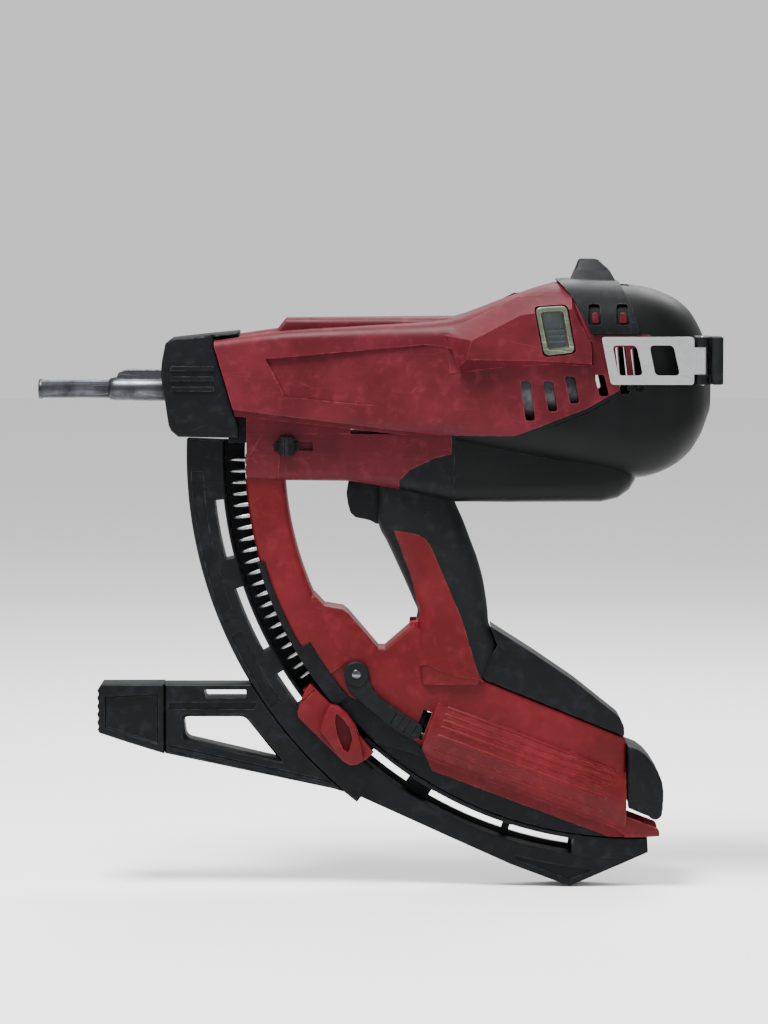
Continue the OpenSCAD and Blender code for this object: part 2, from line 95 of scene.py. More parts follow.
# The centre of the curved magazine, in X and Z.
ARC_X = 374.8
ARC_Z = -42.3
X_AXIS = (1.0, 0.0, 0.0)
Y_AXIS = (0.0, 1.0, 0.0)
Z_AXIS = (0.0, 0.0, 1.0)

Point = tuple[float, float]
Spot = tuple[float, float, float]
Solid = bpy.types.Object
Draft = bmesh.types.BMesh
Tree = bpy.types.NodeTree
Socket = bpy.types.NodeSocket


class Body(Enum):
    """The moving groups of the tool."""

    TOOL = "tool_body"
    NOSE = "nosepiece"
    TRIGGER = "trigger_body"
    PUSHER = "pusher_body"
    LATCH = "latch_body"
    COVER = "cover_body"
    HOOK = "hook_body"
    ADJUSTER = "adjuster_body"


class Side(Enum):
    """Left is towards -Y, right towards +Y."""

    LEFT = -1
    RIGHT = 1


# ---------------------------------------------------------------- colours and shader nodes


def linear(hex_colour: str) -> tuple[float, float, float, float]:
    """Turns an sRGB hex colour into linear RGBA.

    Args:
        hex_colour: Six hex digits.

    Returns:
        Red, green and blue as linear light, and an alpha of one.
    """
    parts = [int(hex_colour[i : i + 2], 16) / 255 for i in (0, 2, 4)]
    light = [c / 12.92 if c <= 0.04045 else ((c + 0.055) / 1.055) ** 2.4 for c in parts]
    return (*light, 1.0)


def add_node(tree: Tree, kind: str, settings: dict | None = None, **inputs: object) -> bpy.types.Node:
    """Adds a shader node, sets it up and links what it is given.

    Args:
        tree: The material's node tree.
        kind: The node's type without its ShaderNode prefix.
        settings: The node's own properties.
        inputs: Socket values by name, with _ for a space; a socket is linked and a value is set.

    Returns:
        The new node.
    """
    node = tree.nodes.new("ShaderNode" + kind)
    for name, value in (settings or {}).items():
        setattr(node, name, value)
    for name, value in inputs.items():
        key = int(name[1:]) if name[0] == "i" and name[1:].isdigit() else name.replace("_", " ")
        socket = node.inputs[key]
        if isinstance(value, Socket):
            tree.links.new(value, socket)
        else:
            socket.default_value = value
    return node


@dataclass(frozen=True)
class Scuffs:
    """Fine straight scratches: their spacing, how many show, and how bright they are."""

    spacing_mm: float = 9.0
    width: float = 0.012
    amount: float = 0.45
    strength: float = 0.5


@dataclass(frozen=True)
class Finish:
    """A material: what it is made of and how its surface was made and has worn.

    The colour drifts between base and faded over patches. Edges rub down to the edge colour, and
    scratches show in the scratch colour. Grain is the height and spacing of the surface texture.
    """

    name: str
    base: str
    faded: str
    roughness: float = 0.5
    rough_spread: float = 0.12
    metallic: float = 0.0
    patch_mm: float = 45.0
    patch_low: float = 0.42
    patch_high: float = 0.68
    grain_mm: float = 0.5
    grain_height_mm: float = 0.02
    edge: str | None = None
    edge_mm: float = 0.9
    edge_amount: float = 0.6
    scratch: str | None = None
    scuffs: Scuffs = field(default_factory=Scuffs)
    dust: str | None = None
    stretch: Spot = (1.0, 1.0, 1.0)
    coat: float = 0.0
    alpha: float = 1.0
    sheen: float = 0.0
    shine: float = 0.5

    def make(self) -> bpy.types.Material:
        """Builds the material, or returns it if it exists already.

        Returns:
            The Blender material.
        """
        found = bpy.data.materials.get(self.name)
        if found:
            return found
        mat = bpy.data.materials.new(self.name)
        mat.use_nodes = True
        tree = mat.node_tree
        tree.nodes.clear()
        place = add_node(tree, "TexCoord").outputs["Object"]
        patches = self._noise(tree, place, self.patch_mm, 4.0)
        blend = self._ramp(tree, patches, self.patch_low, self.patch_high)
        colour = self._mix(tree, blend, linear(self.base), linear(self.faded))
        rough = self._scale(tree, blend, self.roughness, self.roughness + self.rough_spread)
        if self.dust:
            colour = self._dusted(tree, place, colour)
        if self.scratch:
            mask = self._scratches(tree, place)
            colour = self._mix(tree, mask, colour, linear(self.scratch))
        if self.edge:
            worn = self._edges(tree, place)
            colour = self._mix(tree, worn, colour, linear(self.edge))
        bump = self._grain(tree, place)
        shader = add_node(
            tree,
            "BsdfPrincipled",
            Base_Color=colour,
            Roughness=rough,
            Normal=bump,
            Metallic=self.metallic,
            Coat_Weight=self.coat,
            Alpha=self.alpha,
            Sheen_Weight=self.sheen,
            Specular_IOR_Level=self.shine,
        )
        out = add_node(tree, "OutputMaterial")
        tree.links.new(shader.outputs["BSDF"], out.inputs["Surface"])
        return mat

    def _noise(self, tree: Tree, place: Socket, size_mm: float, detail: float) -> Socket:
        """Adds cloud noise whose blobs are about size_mm across."""
        node = add_node(
            tree, "TexNoise", Vector=place, Scale=1.0 / (size_mm * MM), Detail=detail, Roughness=0.6
        )
        return node.outputs["Fac"]

    def _ramp(self, tree: Tree, value: Socket, low: float, high: float) -> Socket:
        """Stretches a value so that low becomes 0 and high becomes 1."""
        node = add_node(tree, "MapRange", Value=value, From_Min=low, From_Max=high)
        return node.outputs["Result"]

    def _scale(self, tree: Tree, value: Socket, low: float, high: float) -> Socket:
        """Maps 0 to 1 onto low to high."""
        node = add_node(tree, "MapRange", Value=value, To_Min=low, To_Max=high)
        return node.outputs["Result"]

    def _mix(self, tree: Tree, factor: object, first: object, second: object) -> Socket:
        """Mixes two colours by a factor."""
        node = add_node(tree, "Mix", {"data_type": "RGBA"}, i0=factor, i6=first, i7=second)
        return node.outputs[2]

    def _multiply(self, tree: Tree, first: object, second: object) -> Socket:
        """Multiplies two values."""
        return add_node(tree, "Math", {"operation": "MULTIPLY"}, i0=first, i1=second).outputs[0]

    def _dusted(self, tree: Tree, place: Socket, colour: object) -> Socket:
        """Lays thin pale dust over the colour in small blotches."""
        blotch = self._ramp(tree, self._noise(tree, place, 7.0, 6.0), 0.52, 0.74)
        amount = self._multiply(tree, blotch, 0.28)
        return self._mix(tree, amount, colour, linear(self.dust))

    def _scratches(self, tree: Tree, place: Socket) -> Socket:
        """Thin broken lines in three directions."""
        total: Socket | None = None
        for number, turn in enumerate((0.5, -0.35, 1.35)):
            spread = add_node(
                tree,
                "Mapping",
                Vector=place,
                Rotation=(0.2 * number, turn, 0.3),
                Scale=(0.12, 1.0, 1.0),
                Location=(0.013 * number, 0.02, 0.007 * number),
            ).outputs["Vector"]
            cells = add_node(
                tree,
                "TexVoronoi",
                {"feature": "DISTANCE_TO_EDGE"},
                Vector=spread,
                Scale=1.0 / (self.scuffs.spacing_mm * MM),
            ).outputs["Distance"]
            line = add_node(
                tree, "Math", {"operation": "LESS_THAN"}, i0=cells, i1=self.scuffs.width
            ).outputs[0]
            broken = self._ramp(
                tree, self._noise(tree, spread, 16.0 + 5 * number, 3.0),
                0.5 + 0.12 * (1 - self.scuffs.amount), 0.66
            )
            part = self._multiply(tree, line, broken)
            total = part if total is None else add_node(
                tree, "Math", {"operation": "MAXIMUM"}, i0=total, i1=part
            ).outputs[0]
        return self._multiply(tree, total, self.scuffs.strength)

    def _edges(self, tree: Tree, place: Socket) -> Socket:
        """How worn each spot is: most at outer edges, broken up by noise."""
        soft = add_node(tree, "Bevel", {"samples": 4}, Radius=self.edge_mm * MM).outputs["Normal"]
        sharp = add_node(tree, "NewGeometry").outputs["Normal"]
        match = add_node(
            tree, "VectorMath", {"operation": "DOT_PRODUCT"}, i0=soft, i1=sharp
        ).outputs["Value"]
        near = self._ramp(tree, match, 0.985, 0.86)
        patch = self._ramp(tree, self._noise(tree, place, 5.0, 5.0), 0.42, 0.66)
        return self._multiply(tree, self._multiply(tree, near, patch), self.edge_amount)

    def _grain(self, tree: Tree, place: Socket) -> Socket:
        """The surface's fine texture as a bump, stretched where it was brushed or drawn."""
        spread = add_node(tree, "Mapping", Vector=place, Scale=self.stretch).outputs["Vector"]
        height = self._noise(tree, spread, self.grain_mm, 2.0)
        node = add_node(tree, "Bump", Height=height, Strength=0.6, Distance=self.grain_height_mm * MM)
        return node.outputs["Normal"]


# Injection-moulded nylon, dyed dusty crimson: matte, faded on top, with pale scratches.
RED_NYLON = Finish(
    "red_nylon_moulded", "3c030d", "4e0c18", 0.5, 0.14, edge="a4465a", edge_amount=0.5,
    scratch="6e2a34", dust="6e2430", grain_mm=0.7, grain_height_mm=0.018, shine=0.16,
    scuffs=Scuffs(13.0, 0.006, 0.35, 0.22),
)
# The same nylon in the purer red of the guard and base.
RED_FRAME = Finish(
    "red_nylon_frame", "450206", "560a12", 0.48, 0.14, edge="b0444c", edge_amount=0.45,
    scratch="702a31", dust="701e28", grain_mm=0.7, grain_height_mm=0.018, shine=0.16,
    scuffs=Scuffs(15.0, 0.006, 0.3, 0.2),
)
# Glass-filled black nylon: blue-black, with grey scuffs on its edges.
BLACK_NYLON = Finish(
    "black_nylon_moulded", "030405", "07090c", 0.48, 0.16, edge="4c545c", edge_amount=0.4,
    scratch="23272c", dust="22282f", grain_mm=0.8, grain_height_mm=0.03, shine=0.12,
    scuffs=Scuffs(11.0, 0.006, 0.35, 0.2),
)
# Black nylon of the rear cap, smoother, so that it shows a broad soft highlight.
CAP_NYLON = Finish(
    "black_nylon_smooth", "020303", "050607", 0.45, 0.1, edge="3c434b", edge_amount=0.3, shine=0.12,
    scratch="1a1d21", grain_mm=1.0, grain_height_mm=0.012, scuffs=Scuffs(17.0, 0.005, 0.3, 0.15),
)
# Soft overmoulded rubber: dull, greenish black, with a pebbled feel.
SOFT_RUBBER = Finish(
    "rubber_overmoulded", "07090a", "0e1112", 0.62, 0.12, edge="3a4042", edge_amount=0.35, shine=0.12,
    dust="2a2f31", grain_mm=1.1, grain_height_mm=0.05,
)
# Ground tool steel, dark with oil and heat.
DARK_STEEL = Finish(
    "tool_steel_oiled", "4a4c50", "2b2c2f", 0.3, 0.15, metallic=1.0, patch_mm=14.0,
    grain_mm=0.5, grain_height_mm=0.008, stretch=(0.2, 1.0, 1.0), edge="c9cacc", edge_amount=0.7,
    scratch="a8aaad", scuffs=Scuffs(6.0, 0.02, 0.6, 0.5),
)
# Stamped stainless strip: pale, finely brushed along its length, scratched.
STRAP_STEEL = Finish(
    "stainless_stamped", "b4b5b6", "9a9b9d", 0.34, 0.14, metallic=1.0, patch_mm=20.0,
    grain_mm=0.5, grain_height_mm=0.006, stretch=(0.08, 1.0, 1.0), edge="e4e4e4", edge_amount=0.5,
    scratch="75777a", scuffs=Scuffs(7.0, 0.012, 0.6, 0.5),
)
# Zinc-plated nails: bright and slightly mottled.
NAIL_ZINC = Finish(
    "steel_zinc_plated", "a4a6a8", "7e8184", 0.26, 0.2, metallic=1.0, patch_mm=4.0,
    grain_mm=0.5, grain_height_mm=0.005,
)
# Pins, springs and screws: plain turned or drawn steel.
PLAIN_STEEL = Finish(
    "steel_turned", "8f9194", "6d6f73", 0.3, 0.15, metallic=1.0, patch_mm=8.0,
    grain_mm=0.4, grain_height_mm=0.006, edge="d5d6d8", edge_amount=0.5,
)
# Die-cast window frame, its greenish paint worn to metal at the rim.
BEZEL_CAST = Finish(
    "die_casting_worn", "4f5647", "3a4036", 0.4, 0.2, metallic=0.6, patch_mm=6.0,
    grain_mm=0.6, grain_height_mm=0.03, edge="b9b49c", edge_amount=0.9, edge_mm=0.8,
    scratch="a09b86", scuffs=Scuffs(4.0, 0.03, 0.7, 0.6),
)
# Smoked polycarbonate behind the window frame.
PANE_SMOKED = Finish(
    "polycarbonate_smoked", "2e3638", "3b4446", 0.16, 0.2, patch_mm=9.0, grain_mm=2.0,
    grain_height_mm=0.004, coat=0.4, dust="5b6263",
)
# Polyethylene collation that holds the nails.
COLLATION_PE = Finish(
    "polyethylene_collation", "24211d", "35312b", 0.5, 0.15, patch_mm=6.0, grain_mm=0.6,
    grain_height_mm=0.02, edge="5a564d", edge_amount=0.5,
)
# Drawn aluminium gas can.
CAN_ALUMINIUM = Finish(
    "aluminium_drawn", "c2c3c5", "adaeb1", 0.28, 0.12, metallic=1.0, patch_mm=15.0,
    grain_mm=0.6, grain_height_mm=0.004, stretch=(1.0, 0.2, 1.0),
)
# Cast chamber parts inside the body.
CAST_ALLOY = Finish(
    "aluminium_cast", "6d6f72", "55575a", 0.45, 0.15, metallic=1.0, patch_mm=10.0,
    grain_mm=0.8, grain_height_mm=0.03,
)
# Open-cell foam of the air filter.
FILTER_FOAM = Finish(
    "foam_open_cell", "2c2e30", "3d4042", 0.9, 0.05, patch_mm=4.0, grain_mm=1.2,
    grain_height_mm=0.4, sheen=0.2,
)
# Glazed insulator of the spark plug.
GLAZED_CERAMIC = Finish(
    "ceramic_glazed", "dedbd2", "cfcabd", 0.2, 0.1, patch_mm=5.0, grain_height_mm=0.002, coat=0.5
)
# Brass of the igniter.
IGNITER_BRASS = Finish(
    "brass_satin", "b08d4a", "94743a", 0.32, 0.15, metallic=1.0, patch_mm=6.0, grain_height_mm=0.005
)


# ---------------------------------------------------------------- mesh tools


def polar(radius: float, degrees: float) -> Point:
    """A point on an arc about the magazine's centre, with the angle measured down from -X."""
    turn = math.radians(degrees)
    return (ARC_X - radius * math.cos(turn), ARC_Z - radius * math.sin(turn))


def arc(radius: float, start: float, end: float, steps: int) -> list[Point]:
    """Points of an arc about the magazine's centre.

    Args:
        radius: The arc's radius.
        start: First angle in degrees down from -X.
        end: Last angle.
        steps: How many stretches the arc is drawn in.

    Returns:
        steps + 1 points in X and Z.
    """
    return [polar(radius, start + (end - start) * i / steps) for i in range(steps + 1)]


def rect(x0: float, z0: float, x1: float, z1: float) -> list[Point]:
    """The outline of an upright rectangle, from one corner to the opposite one."""
    return [(x0, z0), (x1, z0), (x1, z1), (x0, z1)]


def new_object(name: str, bm: Draft) -> Solid:
    """Turns a bmesh into an object in the scene, with its faces pointing outwards."""
    bmesh.ops.recalc_face_normals(bm, faces=bm.faces[:])
    mesh = bpy.data.meshes.new(name)
    bm.to_mesh(mesh)
    bm.free()
    obj = bpy.data.objects.new(name, mesh)
    bpy.context.scene.collection.objects.link(obj)
    return obj


def round_off(
    bm: Draft, geom: list, radius: float, segments: int, kind: str = "VERTICES", clamp: bool = False
) -> None:
    """Rounds the corners of a face, or the edges of a body, to a radius.

    Args:
        bm: The bmesh to change.
        geom: The corners or edges.
        radius: What they are rounded to.
        segments: Steps in each rounding.
        kind: VERTICES or EDGES.
        clamp: True keeps neighbouring roundings from crossing.
    """
    bmesh.ops.bevel(
        bm, geom=geom, offset=radius, offset_type="OFFSET", segments=segments, profile=0.5,
        affect=kind, clamp_overlap=clamp, material=-1,
    )


@contextmanager
def edited(obj: Solid) -> Iterator[Draft]:
    """Opens an object's mesh as a bmesh and writes it back.

    Args:
        obj: The object to change.

    Yields:
        The bmesh to work on.
    """
    bm = bmesh.new()
    bm.from_mesh(obj.data)
    yield bm
    bm.to_mesh(obj.data)
    bm.free()


def plate_mesh(
    bm: Draft, outline: list[Point], y0: float, y1: float, corner: float = 0.0, segments: int = 3,
    rim: float = 0.0
) -> list[bmesh.types.BMVert]:
    """Adds a plate: an outline in X and Z, given thickness across the tool.

    Args:
        bm: The bmesh to add to.
        outline: The plate's corners in order.
        y0: Its lower Y.
        y1: Its upper Y.
        corner: Radius that every corner is rounded to.
        segments: Steps in each rounded corner.
        rim: Radius that the plate's outer edges are rounded to.

    Returns:
        The plate's vertices.
    """
    part = bmesh.new()
    corners = [part.verts.new((x, y0, z)) for x, z in outline]
    part.faces.new(corners)
    if corner > 0:
        round_off(part, corners, corner, segments)
    grown = bmesh.ops.extrude_face_region(part, geom=part.faces[:])
    moved = [v for v in grown["geom"] if isinstance(v, bmesh.types.BMVert)]
    bmesh.ops.translate(part, verts=moved, vec=(0, y1 - y0, 0))
    if rim > 0:
        flat = [e for e in part.edges if abs(e.verts[0].co.y - e.verts[1].co.y) < 1e-6]
        round_off(part, flat, rim, 4, "EDGES", clamp=True)
    return merge_into(bm, part)


def merge_into(bm: Draft, part: Draft) -> list[bmesh.types.BMVert]:
    """Adds a finished bmesh to another and frees it, and returns the vertices that were added."""
    bmesh.ops.recalc_face_normals(part, faces=part.faces[:])
    mesh = bpy.data.meshes.new("part")
    part.to_mesh(mesh)
    part.free()
    before = len(bm.verts)
    bm.from_mesh(mesh)
    bpy.data.meshes.remove(mesh)
    bm.verts.ensure_lookup_table()
    return bm.verts[before:]


def plate(
    name: str, outline: list[Point], y0: float, y1: float, corner: float = 0.0, segments: int = 3,
    rim: float = 0.0
) -> Solid:
    """Makes a plate as an object of its own. See plate_mesh for the arguments."""
    bm = bmesh.new()
    plate_mesh(bm, outline, y0, y1, corner, segments, rim)
    return new_object(name, bm)


def flank(name: str, outline: list[Point], side: int, near: float, far: float, **rounding: float) -> Solid:
    """Makes a plate on one side of the tool.

    Args:
        name: The object's name.
        outline: The plate's corners in order.
        side: -1 for the left side and 1 for the right.
        near: Distance of one face from the mid plane.
        far: Distance of the other face.
        rounding: The corner and rim radii of plate_mesh.

    Returns:
        The plate.
    """
    y0, y1 = sorted((side * near, side * far))
    return plate(name, outline, y0, y1, **rounding)


def lathe_mesh(
    bm: Draft, profile: list[Point], place: Matrix, steps: int = 40, hollow: bool = False
) -> list[bmesh.types.BMVert]:
    """Adds a turned shape.

    Args:
        bm: The bmesh to add to.
        profile: Pairs of distance along the axis and radius.
        place: Carries the local Z axis to where the shape stands.
        steps: Facets round the axis.
        hollow: True where the profile is a loop off the axis, such as a tube's section.

    Returns:
        The new vertices.
    """
    part = bmesh.new()
    line = [part.verts.new((radius, 0, along)) for along, radius in profile]
    pairs = list(zip(line, line[1:] + line[:1])) if hollow else list(zip(line, line[1:]))
    edges = [part.edges.new(pair) for pair in pairs]
    bmesh.ops.spin(
        part, geom=line + edges, cent=(0, 0, 0), axis=(0, 0, 1), angle=math.tau,
        steps=steps, use_merge=True, use_normal_flip=False,
    )
    bmesh.ops.remove_doubles(part, verts=part.verts[:], dist=1e-4)
    bmesh.ops.holes_fill(part, edges=[e for e in part.edges if e.is_boundary], sides=0)
    bmesh.ops.transform(part, matrix=place, verts=part.verts[:])
    return merge_into(bm, part)


def along(start: Spot, direction: Spot) -> Matrix:
    """A matrix that carries local Z onto a direction from a start point."""
    turn = Vector((0, 0, 1)).rotation_difference(Vector(direction)).to_matrix().to_4x4()
    return Matrix.Translation(start) @ turn


def lathe(name: str, profile: list[Point], place: Matrix, steps: int = 40, hollow: bool = False) -> Solid:
    """Makes a turned shape as an object of its own. See lathe_mesh for the arguments."""
    bm = bmesh.new()
    lathe_mesh(bm, profile, place, steps, hollow)
    return new_object(name, bm)


def arc_bar(
    name: str, r0: float, r1: float, y0: float, y1: float, start: float, end: float,
    corner: float = 0.0, steps: int = 40,
) -> Solid:
    """Makes a curved bar about the magazine's centre by spinning its rounded section.

    Args:
        name: The object's name.
        r0: Inner radius.
        r1: Outer radius.
        y0: Lower Y.
        y1: Upper Y.
        start: First angle in degrees down from -X.
        end: Last angle.
        corner: Radius of the section's corners.
        steps: Steps along the bar.

    Returns:
        The closed bar.
    """
    part = bmesh.new()
    section = [part.verts.new((-r, y, 0)) for r, y in ((r0, y0), (r1, y0), (r1, y1), (r0, y1))]
    part.faces.new(section)
    if corner > 0:
        round_off(part, section, corner, 4)
    turn = Matrix.Rotation(math.radians(-start), 4, "Y")
    bmesh.ops.transform(part, matrix=turn, verts=part.verts[:])
    bmesh.ops.spin(
        part, geom=part.faces[:], cent=(0, 0, 0), axis=(0, -1, 0),
        angle=math.radians(end - start), steps=steps,
    )
    bmesh.ops.recalc_face_normals(part, faces=part.faces[:])
    bmesh.ops.translate(part, verts=part.verts[:], vec=(ARC_X, 0, ARC_Z))
    return new_object(name, part)


@dataclass(frozen=True)
class Station:
    """A rounded cross-section of the body at one X."""

    x: float
    half_w: float
    z_lo: float
    z_hi: float
    top_r: float
    low_r: float

    def grown(self, by: float) -> "Station":
        """The section moved outwards all round."""
        return Station(
            self.x, self.half_w + by, self.z_lo - by, self.z_hi + by, self.top_r + by, self.low_r + by
        )


def loft(name: str, stations: list[Station], segments: int = 8) -> Solid:
    """Makes a closed skin over a row of rounded cross-sections.

    Args:
        name: The object's name.
        stations: The sections in order of X.
        segments: Steps in each rounded corner.

    Returns:
        The closed skin.
    """
    part = bmesh.new()
    loops = []
    for s in stations:
        first = len(part.edges)
        single = bmesh.new()
        spots = ((-s.half_w, s.z_lo), (s.half_w, s.z_lo), (s.half_w, s.z_hi), (-s.half_w, s.z_hi))
        corners = [single.verts.new((s.x, y, z)) for y, z in spots]
        single.faces.new(corners)
        for pair, radius in ((corners[:2], s.low_r), (corners[2:], s.top_r)):
            round_off(single, pair, radius, segments)
        merge_into(part, single)
        part.edges.ensure_lookup_table()
        loops.append(part.edges[first:])
    part.faces.ensure_lookup_table()
    bmesh.ops.delete(part, geom=part.faces[1:-1], context="FACES_ONLY")
    for near, far in zip(loops, loops[1:]):
        bmesh.ops.bridge_loops(part, edges=near + far)
    return new_object(name, part)


def tapered(
    name: str, near: list[Point], y_near: float, far: list[Point], y_far: float, corner: float = 0.0
) -> Solid:
    """Makes a block between two outlines in X and Z that have as many corners as each other.

    Args:
        name: The object's name.
        near: The first outline.
        y_near: Where it stands across the tool.
        far: The second outline.
        y_far: Where that one stands.
        corner: Radius that the corners of both are rounded to.

    Returns:
        The closed block.
    """
    part = bmesh.new()
    loops = []
    for outline, y in ((near, y_near), (far, y_far)):
        first = len(part.edges)
        single = bmesh.new()
        corners = [single.verts.new((x, y, z)) for x, z in outline]
        single.faces.new(corners)
        if corner > 0:
            round_off(single, corners, corner, 3)
        merge_into(part, single)
        part.edges.ensure_lookup_table()
        loops.append(part.edges[first:])
    bmesh.ops.bridge_loops(part, edges=loops[0] + loops[1])
    return new_object(name, part)


def smoothed(stations: list[Station], steps: int) -> list[Station]:
    """Adds sections between the given ones, along a smooth curve through them.

    Args:
        stations: The key sections in order of X.
        steps: Sections per stretch.

    Returns:
        The denser row, ends included.
    """
    rows = [(s.x, s.half_w, s.z_lo, s.z_hi, s.top_r, s.low_r) for s in stations]
    result = []
    for i in range(len(rows) - 1):
        p0, p1, p2 = rows[max(i - 1, 0)], rows[i], rows[i + 1]
        p3 = rows[min(i + 2, len(rows) - 1)]
        for step in range(steps):
            t = step / steps
            result.append(Station(*(catmull(a, b, c, d, t) for a, b, c, d in zip(p0, p1, p2, p3))))
    result.append(stations[-1])
    return result


def catmull(a: float, b: float, c: float, d: float, t: float) -> float:
    """A point on a gently rounded curve from b to c."""
    m0, m1 = (c - a) * 0.4, (d - b) * 0.4
    return (
        (2 * t**3 - 3 * t**2 + 1) * b + (t**3 - 2 * t**2 + t) * m0
        + (-2 * t**3 + 3 * t**2) * c + (t**3 - t**2) * m1
    )


def carve(target: Solid, cutter: Solid, how: str = "DIFFERENCE") -> Solid:
    """Applies a boolean and removes the cutter.

    Args:
        target: The object to change.
        cutter: What is cut away, joined or kept in common.
        how: DIFFERENCE, UNION or INTERSECT.

    Returns:
        The target, with a new mesh.
    """
    mod = target.modifiers.new("carve", "BOOLEAN")
    mod.object = cutter
    mod.operation = how
    mod.solver = "EXACT"
    bake(target)
    bpy.data.objects.remove(cutter)
    with edited(target) as bm:
        bmesh.ops.remove_doubles(bm, verts=bm.verts[:], dist=1e-4)
        bmesh.ops.holes_fill(bm, edges=[e for e in bm.edges if e.is_boundary], sides=0)
    return target


def bake(obj: Solid) -> None:
    """Applies an object's modifiers to its mesh."""
    graph = bpy.context.evaluated_depsgraph_get()
    mesh = bpy.data.meshes.new_from_object(obj.evaluated_get(graph))
    obj.modifiers.clear()
    old = obj.data
    obj.data = mesh
    bpy.data.meshes.remove(old)


def join(name: str, *objects: Solid) -> Solid:
    """Makes one object of several, keeping their shells separate."""
    bm = bmesh.new()
    for obj in objects:
        bm.from_mesh(obj.data)
        bpy.data.objects.remove(obj)
    return new_object(name, bm)


def copied(obj: Solid, name: str) -> Solid:
    """A second object with the same mesh."""
    twin = bpy.data.objects.new(name, obj.data.copy())
    bpy.context.scene.collection.objects.link(twin)
    return twin


def finish_piece(
    obj: Solid, body: Body, finish: Finish, replaces: tuple[str, ...] = (),
    edge: float = 0.6, segments: int = 2, angle: float = 32.0,
) -> None:
    """Rounds a piece's edges, scales it to metres, dresses it and puts it on its body.

    Args:
        obj: The piece, in millimetres.
        body: The moving group it belongs to.
        finish: Its material.
        replaces: CAD nodes that it stands for.
        edge: Width of the rounded edges.
        segments: Steps in each rounded edge.
        angle: Edges sharper than this many degrees are rounded.
    """
    mesh = obj.data
    with edited(obj) as bm:
        bmesh.ops.remove_doubles(bm, verts=bm.verts[:], dist=1e-3)
        bmesh.ops.dissolve_degenerate(bm, edges=bm.edges[:], dist=1e-3)
        bmesh.ops.scale(bm, vec=(MM, MM, MM), verts=bm.verts[:])
    mesh.shade_smooth()
    if edge > 0:
        rounder = obj.modifiers.new("rounded_edges", "BEVEL")
        rounder.width = edge * MM
        rounder.segments = segments
        rounder.limit_method = "ANGLE"
        rounder.angle_limit = math.radians(angle)
        rounder.use_clamp_overlap = True
        rounder.harden_normals = True
    mesh.materials.clear()
    mesh.materials.append(finish.make())
    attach(obj, body.value)
    if replaces:
        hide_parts(*replaces)
    LOG.info("%s: %d faces on %s", obj.name, len(mesh.polygons), body.value)


# ---------------------------------------------------------------- the upper body

# Cross-sections of the body from the nose to the rear end.
BODY_KEYS = [
    Station(112.0, 27, -15, 31.5, 5, 5),
    Station(156.0, 34, -19, 37.5, 6, 6),
    Station(210.0, 39.6, -25, 41.0, 8, 8),
    Station(262.0, 44.6, -31, 45.0, 12, 14),
    Station(296.0, 50.0, -38, 57.0, 22, 20),
    Station(328.0, 54.0, -45, 67.4, 30, 26),
    Station(352.0, 54.0, -50.5, 67.6, 34, 30),
    Station(376.0, 54.0, -55, 66.2, 36, 30),
    Station(392.0, 52.6, -52, 63, 36, 30),
    Station(404.0, 49.5, -46, 57.5, 36, 28),
    Station(413.0, 43.5, -38, 49.5, 32, 25),
    Station(420.0, 35.0, -27, 37.5, 26, 20),
    Station(425.5, 22.0, -13, 21.0, 14, 11),
]
# Side view of the red halves of the upper body.
RED_OUTLINE = [
    (112.4, 28.4), (112.4, 84), (331, 84), (341, 58), (349, 36.4), (386, 36.4), (381, 10), (346, -9.5),
    (301, -27.2), (154, -27.2), (152.4, -70), (128, -70), (128, -24),
]
# Side view of the red block below it, in front of and above the trigger.
LOWER_RED = [
    (150, -5), (262, -5), (262, -39.5), (252, -41.7), (236, -49.5), (229, -56.5), (229, -70), (150, -70),
]
# The gap on each side of the mid plane, where two halves meet.
SEAM = 0.12
# Each cooling slot's front edge, top and height.
VENTS = (
    (304.5, 7.5, 25), (318.5, 7.5, 19), (332, 10.5, 17), (350.5, 11.5, 13.5), (363.5, 29, 30), (373, 28, 27)
)


def body_skin(name: str, grow: float = 0.0, first: float = 0.0, last: float = 1000.0) -> Solid:
    """Makes the smooth skin of the upper body, or a stretch of it.

    Args:
        name: The object's name.
        grow: How far the skin is moved outwards.
        first: Only sections behind this X are used.
        last: Only sections ahead of this X are used.

    Returns:
        The closed skin.
    """
    rows = [s.grown(grow) for s in smoothed(BODY_KEYS, 4) if first <= s.x <= last]
    return loft(name, rows, 8)


def rod(name: str, start: Spot, direction: Spot, radius: float, length: float, steps: int = 48) -> Solid:
    """Makes a plain round cutter or pin."""
    return lathe(name, [(0, 0), (0, radius), (length, radius), (length, 0)], along(start, direction), steps)


def half_of(whole: Solid, name: str, side: Side) -> Solid:
    """Makes one side of a piece that is split down the middle.

    Args:
        whole: The unsplit piece, which stays.
        name: What the half is called, before its side.
        side: The side that is kept.

    Returns:
        The half, which stops at the seam.
    """
    half = copied(whole, f"{name}_{side.name.lower()}")
    return carve(half, flank("half", rect(50, -400, 500, 400), side.value, SEAM, -200))


def red_zone() -> Solid:
    """The side view of the red part of the upper body, as a cutter."""
    return plate("red_zone", RED_OUTLINE, -95, 95, corner=1.5)


def clear_engine(part: Solid) -> None:
    """Cuts the room for the cylinder and the chamber."""
    carve(part, rod("bore", (106, 0, 0), X_AXIS, 26, 157))
    carve(part, rod("chamber", (258, 0, 0), X_AXIS, 42.5, 145, 72))


def clear_trigger(part: Solid) -> None:
    """Cuts the room that the trigger slides in."""
    room = rect(190, -86.4, 227.6, -41)
    carve(part, plate("trigger_room", room, -8.4, 8.4))


def cut_vents(part: Solid) -> None:
    """Cuts the slanted cooling slots."""
    for x, top, height in VENTS:
        slot = [(x, top), (x + 6.4, top), (x + 9.4, top - height), (x + 3.6, top - height)]
        carve(part, plate("vent", slot, -70, 70, corner=1.6))


